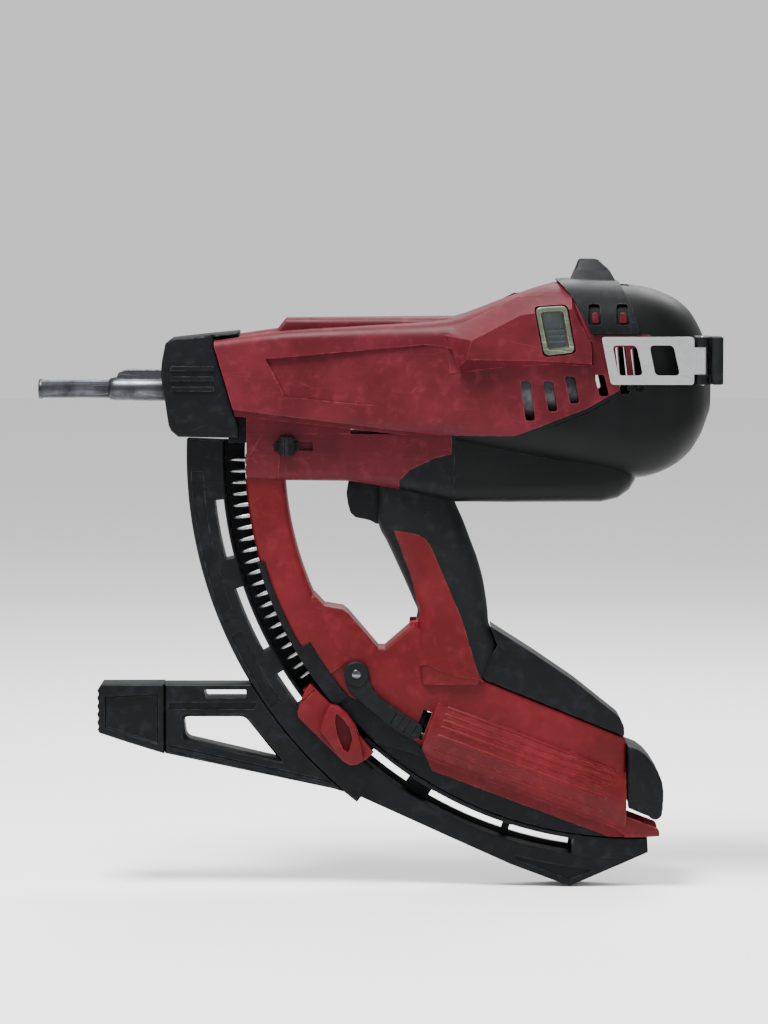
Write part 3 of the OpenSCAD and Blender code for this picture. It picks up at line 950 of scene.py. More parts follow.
@dataclass
class UpperBody:
    """The crimson halves of the body, each with a sunken side panel, a window pod and vents."""

    spine_half_w: float = 15.0

    def build(self) -> None:
        """Makes both halves of the upper shell."""
        whole = self._solid()
        for side in Side:
            half = half_of(whole, "shell_upper", side)
            if side is Side.LEFT:
                self._adjuster_groove(half)
            finish_piece(
                half, Body.TOOL, RED_NYLON, (f"housing_{side.name.lower()}",), edge=0.7,
                segments=3
            )
        bpy.data.objects.remove(whole)
        self._lower_front()

    def _lower_front(self) -> None:
        """The red block under the body, in front of and above the trigger."""
        block = loft("housing_front", [
            Station(152.6, 20.4, -57.1, -8, 5, 6), Station(197.5, 23.5, -57.5, -10, 5, 7),
            Station(226, 28, -62.0, -13, 6, 9), Station(263.9, 34, -70, -18, 8, 10),
        ], 6)
        carve(block, plate("lower_red", LOWER_RED, -95, 95), "INTERSECT")
        carve(block, red_zone())
        clear_engine(block)
        clear_trigger(block)
        self._adjuster_groove(block)
        finish_piece(block, Body.TOOL, RED_NYLON, edge=0.5)

    def _solid(self) -> Solid:
        """The red part of the body as one piece, before it is split."""
        body = body_skin("body", last=405.0)
        carve(body, self._spine(), "UNION")
        carve(body, loft("front_foot", [
            Station(132.5, 20, -57, -10, 5, 6), Station(198.2, 24, -57.5, -10, 5, 7),
        ]), "UNION")
        carve(body, red_zone(), "INTERSECT")
        for side in Side:
            carve(body, self._pod(side), "UNION")
        for side in Side:
            carve(body, self._recess(side))
            carve(body, self._lower_step(side))
            carve(body, self._window(side))
        cut_vents(body)
        clear_engine(body)
        carve(body, plate("nose_room", rect(99, 38.3, 127.6, -31.6), -22.35, 22.35))
        return body

    def _spine(self) -> Solid:
        """The raised band along the top, with a sloping front end."""
        w = self.spine_half_w
        return loft("spine", [
            Station(128, w - 3, 20, 35.2, 3, 2), Station(152, w - 1, 20, 38.6, 3, 2),
            Station(157.5, w - 1, 20, 45.4, 3.5, 2), Station(222, w + 2, 20, 45.9, 4, 2),
            Station(270, w + 4, 20, 46.3, 5, 2),
        ], 4)

    def _pod(self, side: Side) -> Solid:
        """The faceted pod that stands out round the window."""
        outer = [
            (274, 33), (305, 49), (336, 52.5), (344, 39.5), (348.6, 30.5), (348.6, 18.5), (311, 20.5),
            (271, 21)
        ]
        inner = [
            (255, 36), (303, 60), (337, 62), (346.4, 42), (352.4, 33), (354, 12), (309, 11.5), (259, 10.5)
        ]
        return tapered("pod", outer, side.value * 57.8, inner, side.value * 42.0)

    def _recess(self, side: Side) -> Solid:
        """The sunken side panel: deep under its upper edge, running out to the rear."""
        s = side.value
        outline = [(145, 20.4), (246, 30.0), (262, 27.5), (270, 4), (264, -12.6), (236, -10.6), (157, -3.4)]
        deep = {145: 30.2, 246: 42.4, 262: 45.0, 270: 46.2, 264: 46.4, 236: 42.6, 157: 32.6}
        part = bmesh.new()
        far = [part.verts.new((x, s * 80, z)) for x, z in outline]
        near = [part.verts.new((x, s * (deep[x] - (0.4 if z > 15 else 0)), z)) for x, z in outline]
        part.faces.new(far)
        part.faces.new(near)
        count = len(outline)
        for i in range(count):
            j = (i + 1) % count
            part.faces.new((far[i], far[j], near[j], near[i]))
        bmesh.ops.triangulate(part, faces=part.faces[:])
        return new_object("recess", part)

    def _lower_step(self, side: Side) -> Solid:
        """Cuts the side back below the lower panel's edge."""
        s = side.value
        outline = [(124, -11.6), (236.4, -25.0), (264, -28.2), (264, -60), (124, -60)]
        part = tapered("step", outline, s * 80, outline, s * 29.0)
        with edited(part) as bm:
            for v in bm.verts:
                if abs(v.co.y) < 40:
                    v.co.y = s * (25.2 + (v.co.x - 124) * 0.085)
        return part

    def _window(self, side: Side) -> Solid:
        """The opening that the bezel sits in."""
        s = side.value
        return flank(
            "window", [(312.6, 54.2), (333.8, 55.4), (339.4, 24.8), (318.6, 22.4)], s, 42, 70, corner=3.0
        )

    def _adjuster_groove(self, half: Solid) -> None:
        """The groove that the depth adjuster slides in."""
        carve(half, plate("groove", rect(149.6, -38, 174.6, -32), -40, -18.5, corner=0.8))


@dataclass
class Windows:
    """A worn metal frame and a smoked pane on each side of the chamber."""

    outer: tuple[Point, ...] = ((313.4, 53.4), (333.2, 54.6), (338.6, 25.4), (319.2, 23.2))
    inner: tuple[Point, ...] = ((317.6, 49.6), (329.8, 50.4), (334.0, 29.0), (322.6, 27.6))

    def build(self) -> None:
        """Makes the frames and panes of both sides."""
        frames, panes = [], []
        for side in Side:
            s = side.value
            frame = flank("bezel", list(self.outer), s, 48, 57.6, corner=3.2, rim=0.9)
            cutter = tapered("inside", self._spread(1.4), s * 58.2, list(self.inner), s * 53.5, corner=2.2)
            carve(frame, cutter)
            carve(frame, flank("through", list(self.inner), s, 46, 54, corner=2.0))
            frames.append(frame)
            pane = flank(
                "pane", [(314.5, 52), (332.3, 53.2), (337.2, 26.5), (320.2, 24.5)], s, 46, 49.5, corner=2.0
            )
            low, high = sorted((s * 49.5, s * 50.6))
            with edited(pane) as bm:
                for z in (31.0, 34.5, 38.0):
                    bar = [(321.5, z), (332.5, z + 0.6), (332.2, z + 1.9), (321.2, z + 1.3)]
                    plate_mesh(bm, bar, low - 0.2, high, corner=0.4)
            panes.append(pane)
        finish_piece(
            join("window_frames", *frames), Body.TOOL, BEZEL_CAST, ("window_bezel",),
            edge=0.35
        )
        finish_piece(
            join("window_panes", *panes), Body.TOOL, PANE_SMOKED, ("window_pane",), edge=0.4
        )

    def _spread(self, by: float) -> list[Point]:
        """The inner outline moved outwards, for a sloping reveal."""
        cx = sum(x for x, _ in self.inner) / 4
        cz = sum(z for _, z in self.inner) / 4
        return [(x + math.copysign(by, x - cx), z + math.copysign(by, z - cz)) for x, z in self.inner]


@dataclass
class RearBody:
    """The black shell behind and below the red halves."""

    def build(self) -> None:
        """Makes the rear shell."""
        body = body_skin("shell_rear", first=258.0)
        lower = loft("lower", [
            Station(264, 34, -70, -18, 8, 10), Station(300, 37, -70.2, -19, 9, 11),
            Station(356, 40, -69.9, -20, 10, 13), Station(367, 38.5, -67.5, -20, 10, 13),
            Station(374, 36, -62.5, -20, 10, 11), Station(377.8, 32, -56.5, -20, 9, 9),
        ], 6)
        carve(body, lower, "UNION")
        carve(body, red_zone())
        carve(body, plate("front", rect(240, -90, 263.8, 90), -95, 95))
        carve(body, rod("chamber", (258, 0, 0), X_AXIS, 42.5, 140, 72))
        cut_vents(body)
        carve(body, plate("pocket", rect(353, 50, 374, 90), -22, 22))
        for s in (-1, 1):
            groove = strip_along(
                "seam", [(300, -30.5), (345, -13), (383, 7.5), (392, 20), (395, 34)], 0.9, s
            )
            carve(body, groove)
        finish_piece(body, Body.TOOL, CAP_NYLON, ("rear_housing",), edge=0.8, segments=3)


def strip_along(name: str, line: list[Point], width: float, side: int) -> Solid:
    """Makes a thin strip that follows a line, to cut a shallow groove into the skin.

    Args:
        name: The object's name.
        line: The strip's centre line in X and Z.
        width: The strip's width.
        side: -1 for the left side and 1 for the right.

    Returns:
        The strip, which reaches from just inside the skin outwards.
    """
    left, right = [], []
    for i, (x, z) in enumerate(line):
        ahead, behind = line[min(i + 1, len(line) - 1)], line[max(i - 1, 0)]
        dx, dz = ahead[0] - behind[0], ahead[1] - behind[1]
        size = math.hypot(dx, dz)
        nx, nz = -dz / size * width / 2, dx / size * width / 2
        left.append((x + nx, z + nz))
        right.append((x - nx, z - nz))
    return flank(name, left + right[::-1], side, 53.2, 70)


@dataclass
class FilterCover:
    """The black clip over the top, with a fin to press and two windows on each side."""

    wall: float = 2.1

    def build(self) -> None:
        """Makes the cover and the red tabs behind its windows."""
        shell = body_skin("cover_filter", grow=self.wall, first=312.0, last=398.0)
        outline = [
            (327, 71.5), (331.6, 66.4), (339, 57), (346, 42.8), (349.4, 37), (377.5, 37), (378.6, 39),
            (374.1, 53.7), (367, 69.2), (366, 76), (327, 76),
        ]
        carve(shell, plate("outline", outline, -95, 95, corner=1.0), "INTERSECT")
        carve(shell, self._fin(), "UNION")
        carve(shell, body_skin("inside", grow=0.03, first=300.0, last=410.0))
        for x in (347.5, 365.0):
            window = [(x - 1, 42.6), (x + 7.6, 42.6), (x + 6.4, 55.4), (x - 0.4, 55.4)]
            carve(shell, plate("window", window, -95, 95, corner=1.4))
        finish_piece(shell, Body.TOOL, BLACK_NYLON, ("filter_cover",), edge=0.6, segments=3)
        tabs = []
        for s in (-1, 1):
            for x in (349.6, 367.0):
                tabs.append(
                    flank(
                        "tab", [(x - 0.6, 43.6), (x + 4.0, 43.6), (x + 3.2, 50.2), (x - 0.2, 50.2)], s, 44,
                        53.6, corner=1.0, rim=0.5
                    )
                )
        finish_piece(join("cover_tabs", *tabs), Body.TOOL, RED_NYLON, edge=0.3)

    def _fin(self) -> Solid:
        """The thumb fin: a narrow crest with broad sloping sides."""
        part = bmesh.new()
        base = [(335, -15), (369, -17), (369, 17), (335, 15)]
        middle = [(340.5, -6.5), (362, -9), (362, 9), (340.5, 6.5)]
        crest = [(343, -3.0), (354.5, -3.6), (354.5, 3.6), (343, 3.0)]
        loops = []
        for points, z in ((base, 63.0), (middle, 76.0), (crest, 83.0)):
            loops.append([part.verts.new((x, y, z)) for x, y in points])
        for low, high in zip(loops, loops[1:]):
            for i in range(4):
                j = (i + 1) % 4
                part.faces.new((low[i], low[j], high[j], high[i]))
        part.faces.new(loops[0])
        part.faces.new(loops[-1])
        edges = [e for e in part.edges if min(v.co.z for v in e.verts) > 70]
        round_off(part, edges, 1.6, 3, "EDGES", clamp=True)
        return new_object("fin", part)


@dataclass
class BeltHook:
    """The sprung strap that folds out on its pin, its bracket and the rubber end."""

    outer_y: float = -62.6
    pin_x: float = 417.5
    pin_y: float = -59.5

    def build(self) -> None:
        """Makes the strap, its pin, the bracket and the rubber."""
        y = self.outer_y
        strap = plate(
            "belt_strap", [(354.6, 35.4), (412.2, 35.4), (412.2, 5.7), (360.6, 5.7)], y, y + 2, corner=1.8
        )
        for x in (361.5, 384.5):
            window = [(x - 0.2, 30.2), (x + 14.8, 30.2), (x + 19.0, 11.4), (x + 3.6, 11.4)]
            carve(strap, plate("window", window, y - 5, y + 5, corner=2.6))
        tongue = plate("tongue", rect(410, 12.2, 418, 28.8), y, y + 2)
        carve(strap, tongue, "UNION")
        knuckle = lathe(
            "knuckle", [(0, 1.6), (0, 3.1), (16.6, 3.1), (16.6, 1.6)],
            along((self.pin_x, self.pin_y, 12.2), Z_AXIS), 40, hollow=True
        )
        carve(strap, rod("pin_room", (self.pin_x, self.pin_y, 5), Z_AXIS, 1.9, 30))
        carve(strap, knuckle, "UNION")
        finish_piece(strap, Body.HOOK, STRAP_STEEL, ("belt_hook",), edge=0.35, segments=2)
        self._bracket()
        pin = lathe(
            "hook_hinge_pin", [(0, 0), (0, 1.2), (0.4, 1.5), (30.2, 1.5), (30.6, 1.2), (30.6, 0)],
            along((self.pin_x, self.pin_y, 5.2), Z_AXIS), 32
        )
        finish_piece(pin, Body.TOOL, PLAIN_STEEL, ("hook_pin",), edge=0.0)

    def _bracket(self) -> None:
        """The two lugs that carry the pin, and the rubber behind them."""
        lugs = []
        for z in (5.7, 29.2):
            outline = [
                (self.pin_x - 4.2, -59.5), (self.pin_x - 4.2, -34), (self.pin_x + 5.5, -34),
                (self.pin_x + 5.5, -59.5)
            ]
            lug = self._slab(outline, z, z + 6.1)
            round_end = lathe(
                "end", [(0, 0), (0, 4.2), (6.1, 4.2), (6.1, 0)], along((self.pin_x, self.pin_y, z), Z_AXIS),
                40
            )
            carve(lug, round_end, "UNION")
            lugs.append(lug)
        bracket = lugs[0]
        carve(bracket, lugs[1], "UNION")
        carve(bracket, self._slab(rect(421.6, -57, 424.4, -36), 5.7, 35.3), "UNION")
        carve(bracket, rod("pin_room", (self.pin_x, self.pin_y, 0), Z_AXIS, 1.5, 50))
        finish_piece(bracket, Body.TOOL, BLACK_NYLON, ("hook_bracket",), edge=0.6)
        rubber = self._slab(rect(423.4, -64.8, 430.4, -41), 5.7, 35.3)
        with edited(rubber) as bm:
            upright = [e for e in bm.edges if abs(e.verts[0].co.z - e.verts[1].co.z) > 20]
            round_off(bm, upright, 3.2, 5, "EDGES")
        finish_piece(rubber, Body.TOOL, SOFT_RUBBER, edge=0.9, segments=3)
        rubber.name = "hook_bumper"

    def _slab(self, outline: list[Point], z0: float, z1: float) -> Solid:
        """A level plate: an outline in X and Y between two heights."""
        bm = bmesh.new()
        bm.faces.new([bm.verts.new((x, y, z0)) for x, y in outline])
        grown = bmesh.ops.extrude_face_region(bm, geom=bm.faces[:])
        moved = [v for v in grown["geom"] if isinstance(v, bmesh.types.BMVert)]
        bmesh.ops.translate(bm, verts=moved, vec=(0, 0, z1 - z0))
        return new_object("slab", bm)


# ---------------------------------------------------------------- handle and lower frame

# The grip's sections from the top down: height, front, rear, half width and the corners' radii.
GRIP = (
    (-57.0, 215.6, 261.5, 19, 4, 8), (-70.0, 215.6, 263.9, 19, 6, 10), (-83.0, 215.6, 269.6, 19, 9, 12),
    (-90.0, 217.6, 272.3, 19, 12, 12), (-96.0, 221.0, 274.5, 19, 13, 13),
    (-108.0, 226.6, 279.0, 18.8, 14, 13), (-120.7, 232.4, 282.5, 18.6, 14, 13),
    (-134.0, 238.2, 284.7, 18.6, 13, 12), (-141.0, 241.0, 285.5, 18.6, 12, 11),
    (-149.8, 239.6, 286.4, 18.8, 11, 10), (-162.4, 239.6, 291.2, 19, 9, 8),
    (-176.0, 240.6, 286.5, 19, 8, 6), (-187.0, 241.5, 281.0, 19, 8, 5),
)
# Side views of the grip's red insert, the black strip that is painted shade below the can tube, and the
# base.
INSERT = [
    (226, -89.0), (236, -90.2), (242, -91.8), (245.4, -94), (248.2, -97.4), (250.6, -102.4), (260, -124.5),
    (269.2, -146), (275, -166), (279.3, -180), (283.5, -187), (230, -187), (236, -150), (242.4, -143.4),
    (236.5, -118),
]
SHADE_STRIP = [
    (187, -190), (212, -201), (243, -226), (250, -243), (374, -289.7), (374, -330), (187, -330),
]
BASE = [
    (175, -130), (181.5, -137), (193.4, -139), (197, -142), (216, -164.3), (220, -164.3), (238.7, -148.3),
    (279, -181), (283.5, -184.8), (372.5, -221.2), (374, -225), (374, -262), (396, -273.5),
]
# Where the screws stand, in X and Z: the first in the upper body, the others in the frame.
SCREWS = (
    (147, -32), (155.4, -89.7), (168.1, -130), (182.5, -153.3), (255, -172), (228, -226), (330, -276),
    (364, -232),
)
# The gas can's tube: its front end, its slope and its direction.
CAN_START = (247.0, 0.0, -214.0)
CAN_TILT = math.radians(20.7)
CAN_WAY = (math.cos(CAN_TILT), 0.0, -math.sin(CAN_TILT))


@dataclass
class Handle:
    """The grip with its rubber and crimson insert, the housing above it and the panel behind it."""

    def build(self) -> None:
        """Makes the grip's parts and the trigger."""
        whole = self._grip()
        insert = plate("insert_zone", INSERT, -60, 60)
        rubber = copied(whole, "grip_rubber_part")
        carve(rubber, copied(insert, "zone"))
        clear_trigger(rubber)
        finish_piece(rubber, Body.TOOL, SOFT_RUBBER, ("grip_rubber",), edge=0.5)
        carve(whole, insert, "INTERSECT")
        whole.name = "grip_insert"
        finish_piece(whole, Body.TOOL, RED_FRAME, edge=0.5)
        self._housing()
        panel = plate("panel_rear", [
            (286.9, -149.8), (314.7, -167.5), (340.6, -185.2), (369.1, -208.0), (372.3, -214),
            (372.5, -220.4), (283.9, -184.2), (279.9, -180), (291.6, -162.4),
        ], -17, 17, corner=1.2, rim=2.6)
        finish_piece(panel, Body.TOOL, BLACK_NYLON, ("rear_panel",), edge=0.5)
        self._trigger()

    def _grip(self) -> Solid:
        """The whole grip: rounded level sections from top to bottom."""
        rows = [
            Station(-z, half_w, front, rear, rear_r, front_r)
            for z, front, rear, half_w, front_r, rear_r in GRIP
        ]
        grip = loft("grip", smoothed(rows, 3), 8)
        upright = Matrix.Rotation(math.pi / 2, 3, "Y")
        with edited(grip) as bm:
            bmesh.ops.rotate(bm, verts=bm.verts[:], cent=(0, 0, 0), matrix=upright)
        return grip

    def _housing(self) -> None:
        """The black block between the crimson shell and the grip."""
        block = loft("housing_trigger", [
            Station(197.5, 23.5, -57.5, -10, 5, 7), Station(226, 28, -62.0, -13, 6, 9),
            Station(263.9, 34, -70, -18, 8, 10),
        ], 6)
        carve(block, red_zone())
        carve(block, plate("lower_red", LOWER_RED, -95, 95))
        clear_engine(block)
        clear_trigger(block)
        finish_piece(
            block, Body.TOOL, BLACK_NYLON, ("trigger_housing",), edge=0.8, segments=3
        )

    def _trigger(self) -> None:
        """The trigger blade, hollowed a little in front for the finger."""
        outline = [
            (196.8, -58.5), (195.6, -66), (196.6, -73), (198.2, -78.4), (201.5, -81.4), (207, -82.4),
            (211, -83.4), (214.5, -85.5), (221, -85.5), (221, -42), (205, -42), (205, -58.5),
        ]
        blade = plate("trigger_blade", outline, -8, 8, corner=0.8, rim=2.0)
        finish_piece(blade, Body.TRIGGER, BLACK_NYLON, ("trigger",), edge=0.3)


@dataclass
class LowerFrame:
    """The red guard arc, base and can tube in two screwed halves, and below them a black strip that is
    painted shade under the can tube.
    """

    def build(self) -> None:
        """Makes both halves of the frame."""
        whole = self._solid()
        # The black strip along the lower edge is painted shade below the can tube; the red frame keeps the
        # rest.
        self._painted_shade_strip(copied(whole, "painted_shade_strip"))
        carve(whole, plate("painted_shade_zone", SHADE_STRIP, -60, 60))
        for side in Side:
            half = half_of(whole, "frame", side)
            self._screw_holes(half, heads=side is Side.RIGHT)
            if side is Side.LEFT:
                carve(half, rod("latch_room", (202, -60, -180), Y_AXIS, 3, 50, 32))
            finish_piece(
                half, Body.TOOL, RED_FRAME, (f"housing_{side.name.lower()}",), edge=0.5,
                segments=2
            )
        bpy.data.objects.remove(whole)

    def _screw_holes(self, part: Solid, heads: bool) -> None:
        """Cuts the holes of the screws, and the pockets of their heads on the right."""
        for x, z in SCREWS[1:]:
            carve(part, rod("screw_room", (x, -10, z), Y_AXIS, 2.05, 70, 24))
            if heads:
                carve(part, rod("head_room", (x, 13, z), Y_AXIS, 4.5, 50, 32))

    def _painted_shade_strip(self, painted_shade_strip: Solid) -> None:
        """Cuts a black strip along the base's lower edge out of a copy of the unsplit frame: painted shade
        below the can tube.
        """
        carve(painted_shade_strip, plate("painted_shade_zone", SHADE_STRIP, -60, 60), "INTERSECT")
        self._screw_holes(painted_shade_strip, heads=True)
        finish_piece(painted_shade_strip, Body.TOOL, BLACK_NYLON, edge=0.5)

    def _solid(self) -> Solid:
        """The frame as one piece."""
        frame = arc_bar("guard", 218.5, 243.5, -17, 17, 3.4, 36.0, corner=5.0, steps=44)
        lower_edge = arc(243.5, 94.8, 23.6, 40)
        carve(frame, plate("base", BASE + lower_edge, -16, 16, rim=2.2), "UNION")
        for side in Side:
            carve(frame, self._facet(side), "UNION")
        carve(frame, self._tube(), "UNION")
        ear = [
            (366, -262), (372, -264.8), (384, -269.8), (386, -271.6), (387.6, -276), (380, -284),
            (366, -282)
        ]
        carve(frame, plate("ear", ear, -16, 16), "UNION")
        under = [(237, -231), (366.6, -279.4), (373, -284)] + arc(246, 89.5, 47, 24)
        for side in Side:
            s = side.value
            carve(frame, flank("under", under, s, 11, 30))
        carve(frame, arc_bar("track_room", 231, 247, -5.5, 5.5, -6, 43, steps=50))
        carve(
            frame,
            lathe("can_room", [(-6, 0), (-6, 18.5), (172, 18.5), (172, 0)], along(CAN_START, CAN_WAY), 64)
        )
        carve(frame, plate("hinge_room", rect(378.3, -293, 409, -251), -12.7, 12.7))
        carve(frame, rod("hinge_pin_room", (392.5, -60, -270), Y_AXIS, 2.5, 120, 32))
        return frame

    def _facet(self, side: Side) -> Solid:
        """The raised shoulder between the grip's foot and the can tube."""
        s = side.value
        outer = [(247, -169), (266, -173.4), (281.5, -184), (264, -181.4), (245.4, -174)]
        inner = [(236, -146.8), (272, -146), (287, -187.5), (262, -188), (233, -178)]
        return tapered("facet", outer, s * 19.4, inner, s * 12)

    def _tube(self) -> Solid:
        """The round tube for the gas can, with raised ribs along both sides."""
        tube = lathe(
            "tube", [(0, 0), (0, 21), (1.6, 23), (140, 23), (140, 0)], along(CAN_START, CAN_WAY), 96
        )
        for s in (-1, 1):
            for degrees, wide in ((44, 1.7), (31, 1.3), (20, 1.3), (9, 1.3), (-6, 1.3), (-30, 1.3)):
                angle = math.radians(degrees)
                up = Vector((math.sin(CAN_TILT), 0, math.cos(CAN_TILT)))
                out = Vector((0, s, 0)) * math.cos(angle) + up * math.sin(angle)
                start = Vector(CAN_START) + out * 22.4 + Vector(CAN_WAY) * 9
                rib = lathe(
                    "rib",
                    [
                        (-wide, 0), (-wide * 0.7, wide * 0.7), (0, wide), (112, wide),
                        (112 + wide * 0.7, wide * 0.7), (112 + wide, 0)
                    ],
                    along(tuple(start), CAN_WAY), 20
                )
                carve(tube, rib, "UNION")
        carve(tube, plate("limits", rect(200, -290, 373.6, -140), -60, 60), "INTERSECT")
        return tube


@dataclass
class CanCover:
    """The rear flap over the gas can, with its knuckle and grip."""

    def build(self) -> None:
        """Makes the flap."""
        outline = [
            (374.4, -225.5), (381, -228), (386, -231.8), (390, -236.6), (394, -243), (396.4, -249),
            (397.3, -255), (397.2, -262), (374.4, -262),
        ]
        flap = plate("cover_can", outline, -23.5, 23.5, rim=2.4)
        inside = [(370, -230), (380, -231.4), (387, -238), (393.2, -249), (394.2, -259.4), (370, -259.4)]
        carve(flap, plate("inside", inside, -21, 21))
        carve(
            flap, plate("arm", [(387, -261), (397, -261), (397, -268), (388.4, -268)], -12.2, 12.2), "UNION"
        )
        carve(flap, rod("knuckle", (392.5, -12.2, -270), Y_AXIS, 4.6, 24.4, 40), "UNION")
        carve(flap, rod("pin_room", (392.5, -20, -270), Y_AXIS, 2.05, 40, 32))
        cheek = [
            (374.6, -256), (397.0, -256), (396.8, -267), (393.5, -273.2), (384, -269.4), (374.6, -265.4)
        ]
        for s in (-1, 1):
            carve(flap, flank("cheek", cheek, s, 16.8, 23.2, corner=1.0, rim=0.8), "UNION")
        for z in (-240.5, -244.5, -248.5):
            carve(flap, plate("grip_line", [(388, z), (401, z - 1.2), (401, z), (388, z + 1.2)], -14, 14))
        finish_piece(flap, Body.COVER, BLACK_NYLON, ("can_cover",), edge=0.5)


# ---------------------------------------------------------------- nose


@dataclass
class Nose:
    """The slim fastener guide, its sleeve and the bar on top, and the black block behind them."""

    def build(self) -> None:
        """Makes the parts that press in and the block that they slide through."""
        tip = lathe("guide_tip", [
            (0.5, 3.7), (0, 4.3), (0, 5.9), (0.5, 6.4), (2.3, 6.4), (3.1, 5.85), (59.5, 5.85), (60, 5.4),
            (60, 3.6), (1.2, 3.6),
        ], along((0, 0, 0), X_AXIS), 64, hollow=True)
        finish_piece(tip, Body.NOSE, DARK_STEEL, ("fastener_guide",), edge=0.0)
        sleeve = lathe("guide_sleeve_body", [
            (45.2, 5.86), (45.0, 6.2), (45.6, 6.9), (48.6, 7.6), (111.4, 7.6), (112, 7.0), (112, 3.6),
            (60.2, 3.6), (60.2, 5.86),
        ], along((0, 0, 0), X_AXIS), 72, hollow=True)
        finish_piece(sleeve, Body.NOSE, DARK_STEEL, ("guide_sleeve",), edge=0.0)
        bar = plate(
            "contact_rail", [(49, 6), (50.8, 10.6), (55.5, 12.6), (112, 12.6), (112, 4), (49, 4)], -4, 4,
            corner=0.6, rim=0.7
        )
        carve(bar, rod("sleeve_room", (45, 0, 0), X_AXIS, 7.62, 75, 64))
        finish_piece(bar, Body.NOSE, DARK_STEEL, ("contact_bar",), edge=0.3)
        self._block()

    def _block(self) -> None:
        """The black nose block, with ribs along each side."""
        outline = [
            (78.6, 10.5), (79.4, 19), (81.6, 29.7), (85, 32.5), (104, 34.6), (127.7, 37), (127.7, 34),
            (112.2, 34), (112.2, 28), (127.8, -24), (127.8, -30), (89.5, -29.3), (85, -25.5), (83.4, -22),
        ]
        block = plate("nose_block", outline, -22, 22, rim=2.4)
        for s in (-1, 1):
            for z in (14, 7.5, 1):
                carve(
                    block,
                    flank(
                        "rib", [(84.6, z - 1.4), (112.2, z - 1.4), (112.2, z + 1.4), (85.4, z + 1.4)], s,
                        20, 23, corner=0.5
                    ),
                    "UNION"
                )
        # The chin closes the gap between the block and the red foot behind it.
        carve(block, plate("chin", rect(121, -10, 133.4, -33.4), -14, 14), "UNION")
        carve(block, rod("sleeve_room", (60, 0, 0), X_AXIS, 7.65, 90, 64))
        carve(block, rod("mouth", (70, 0, 0), X_AXIS, 10.2, 12.4, 64))
        carve(block, plate("rail_room", rect(70, 0, 130, 13), -4.3, 4.3))
        carve(block, plate("inner_room", rect(100, -23, 140, 33), -9, 9))
        carve(block, rod("rod_room", (106, 0, 31), X_AXIS, 2.8, 34, 24))
        carve(block, plate("nail_room", rect(118.2, -40, 138.2, 0), -5.5, 5.5))
        finish_piece(block, Body.TOOL, BLACK_NYLON, ("nose_cone",), edge=0.6, segments=2)


@dataclass
class Adjuster:
    """The small slider under the body that sets the driving depth."""

    def build(self) -> None:
        """Makes the slider with a ridged button."""
        base = plate("adjuster", rect(150, -37.6, 166, -32.4), -22.8, -18.8, corner=0.6)
        button = plate("button", rect(153, -41, 163, -29), -26, -22.6, corner=1.4, rim=0.8)
        for x in (155.6, 158, 160.4):
            carve(
                button,
                plate(
                    "groove", [(x - 0.4, -45), (x + 0.4, -45), (x + 0.4, -25), (x - 0.4, -25)], -28, -25.4
                )
            )
        carve(base, button, "UNION")
        finish_piece(base, Body.ADJUSTER, BLACK_NYLON, ("depth_adjuster",), edge=0.25)


# ---------------------------------------------------------------- magazine


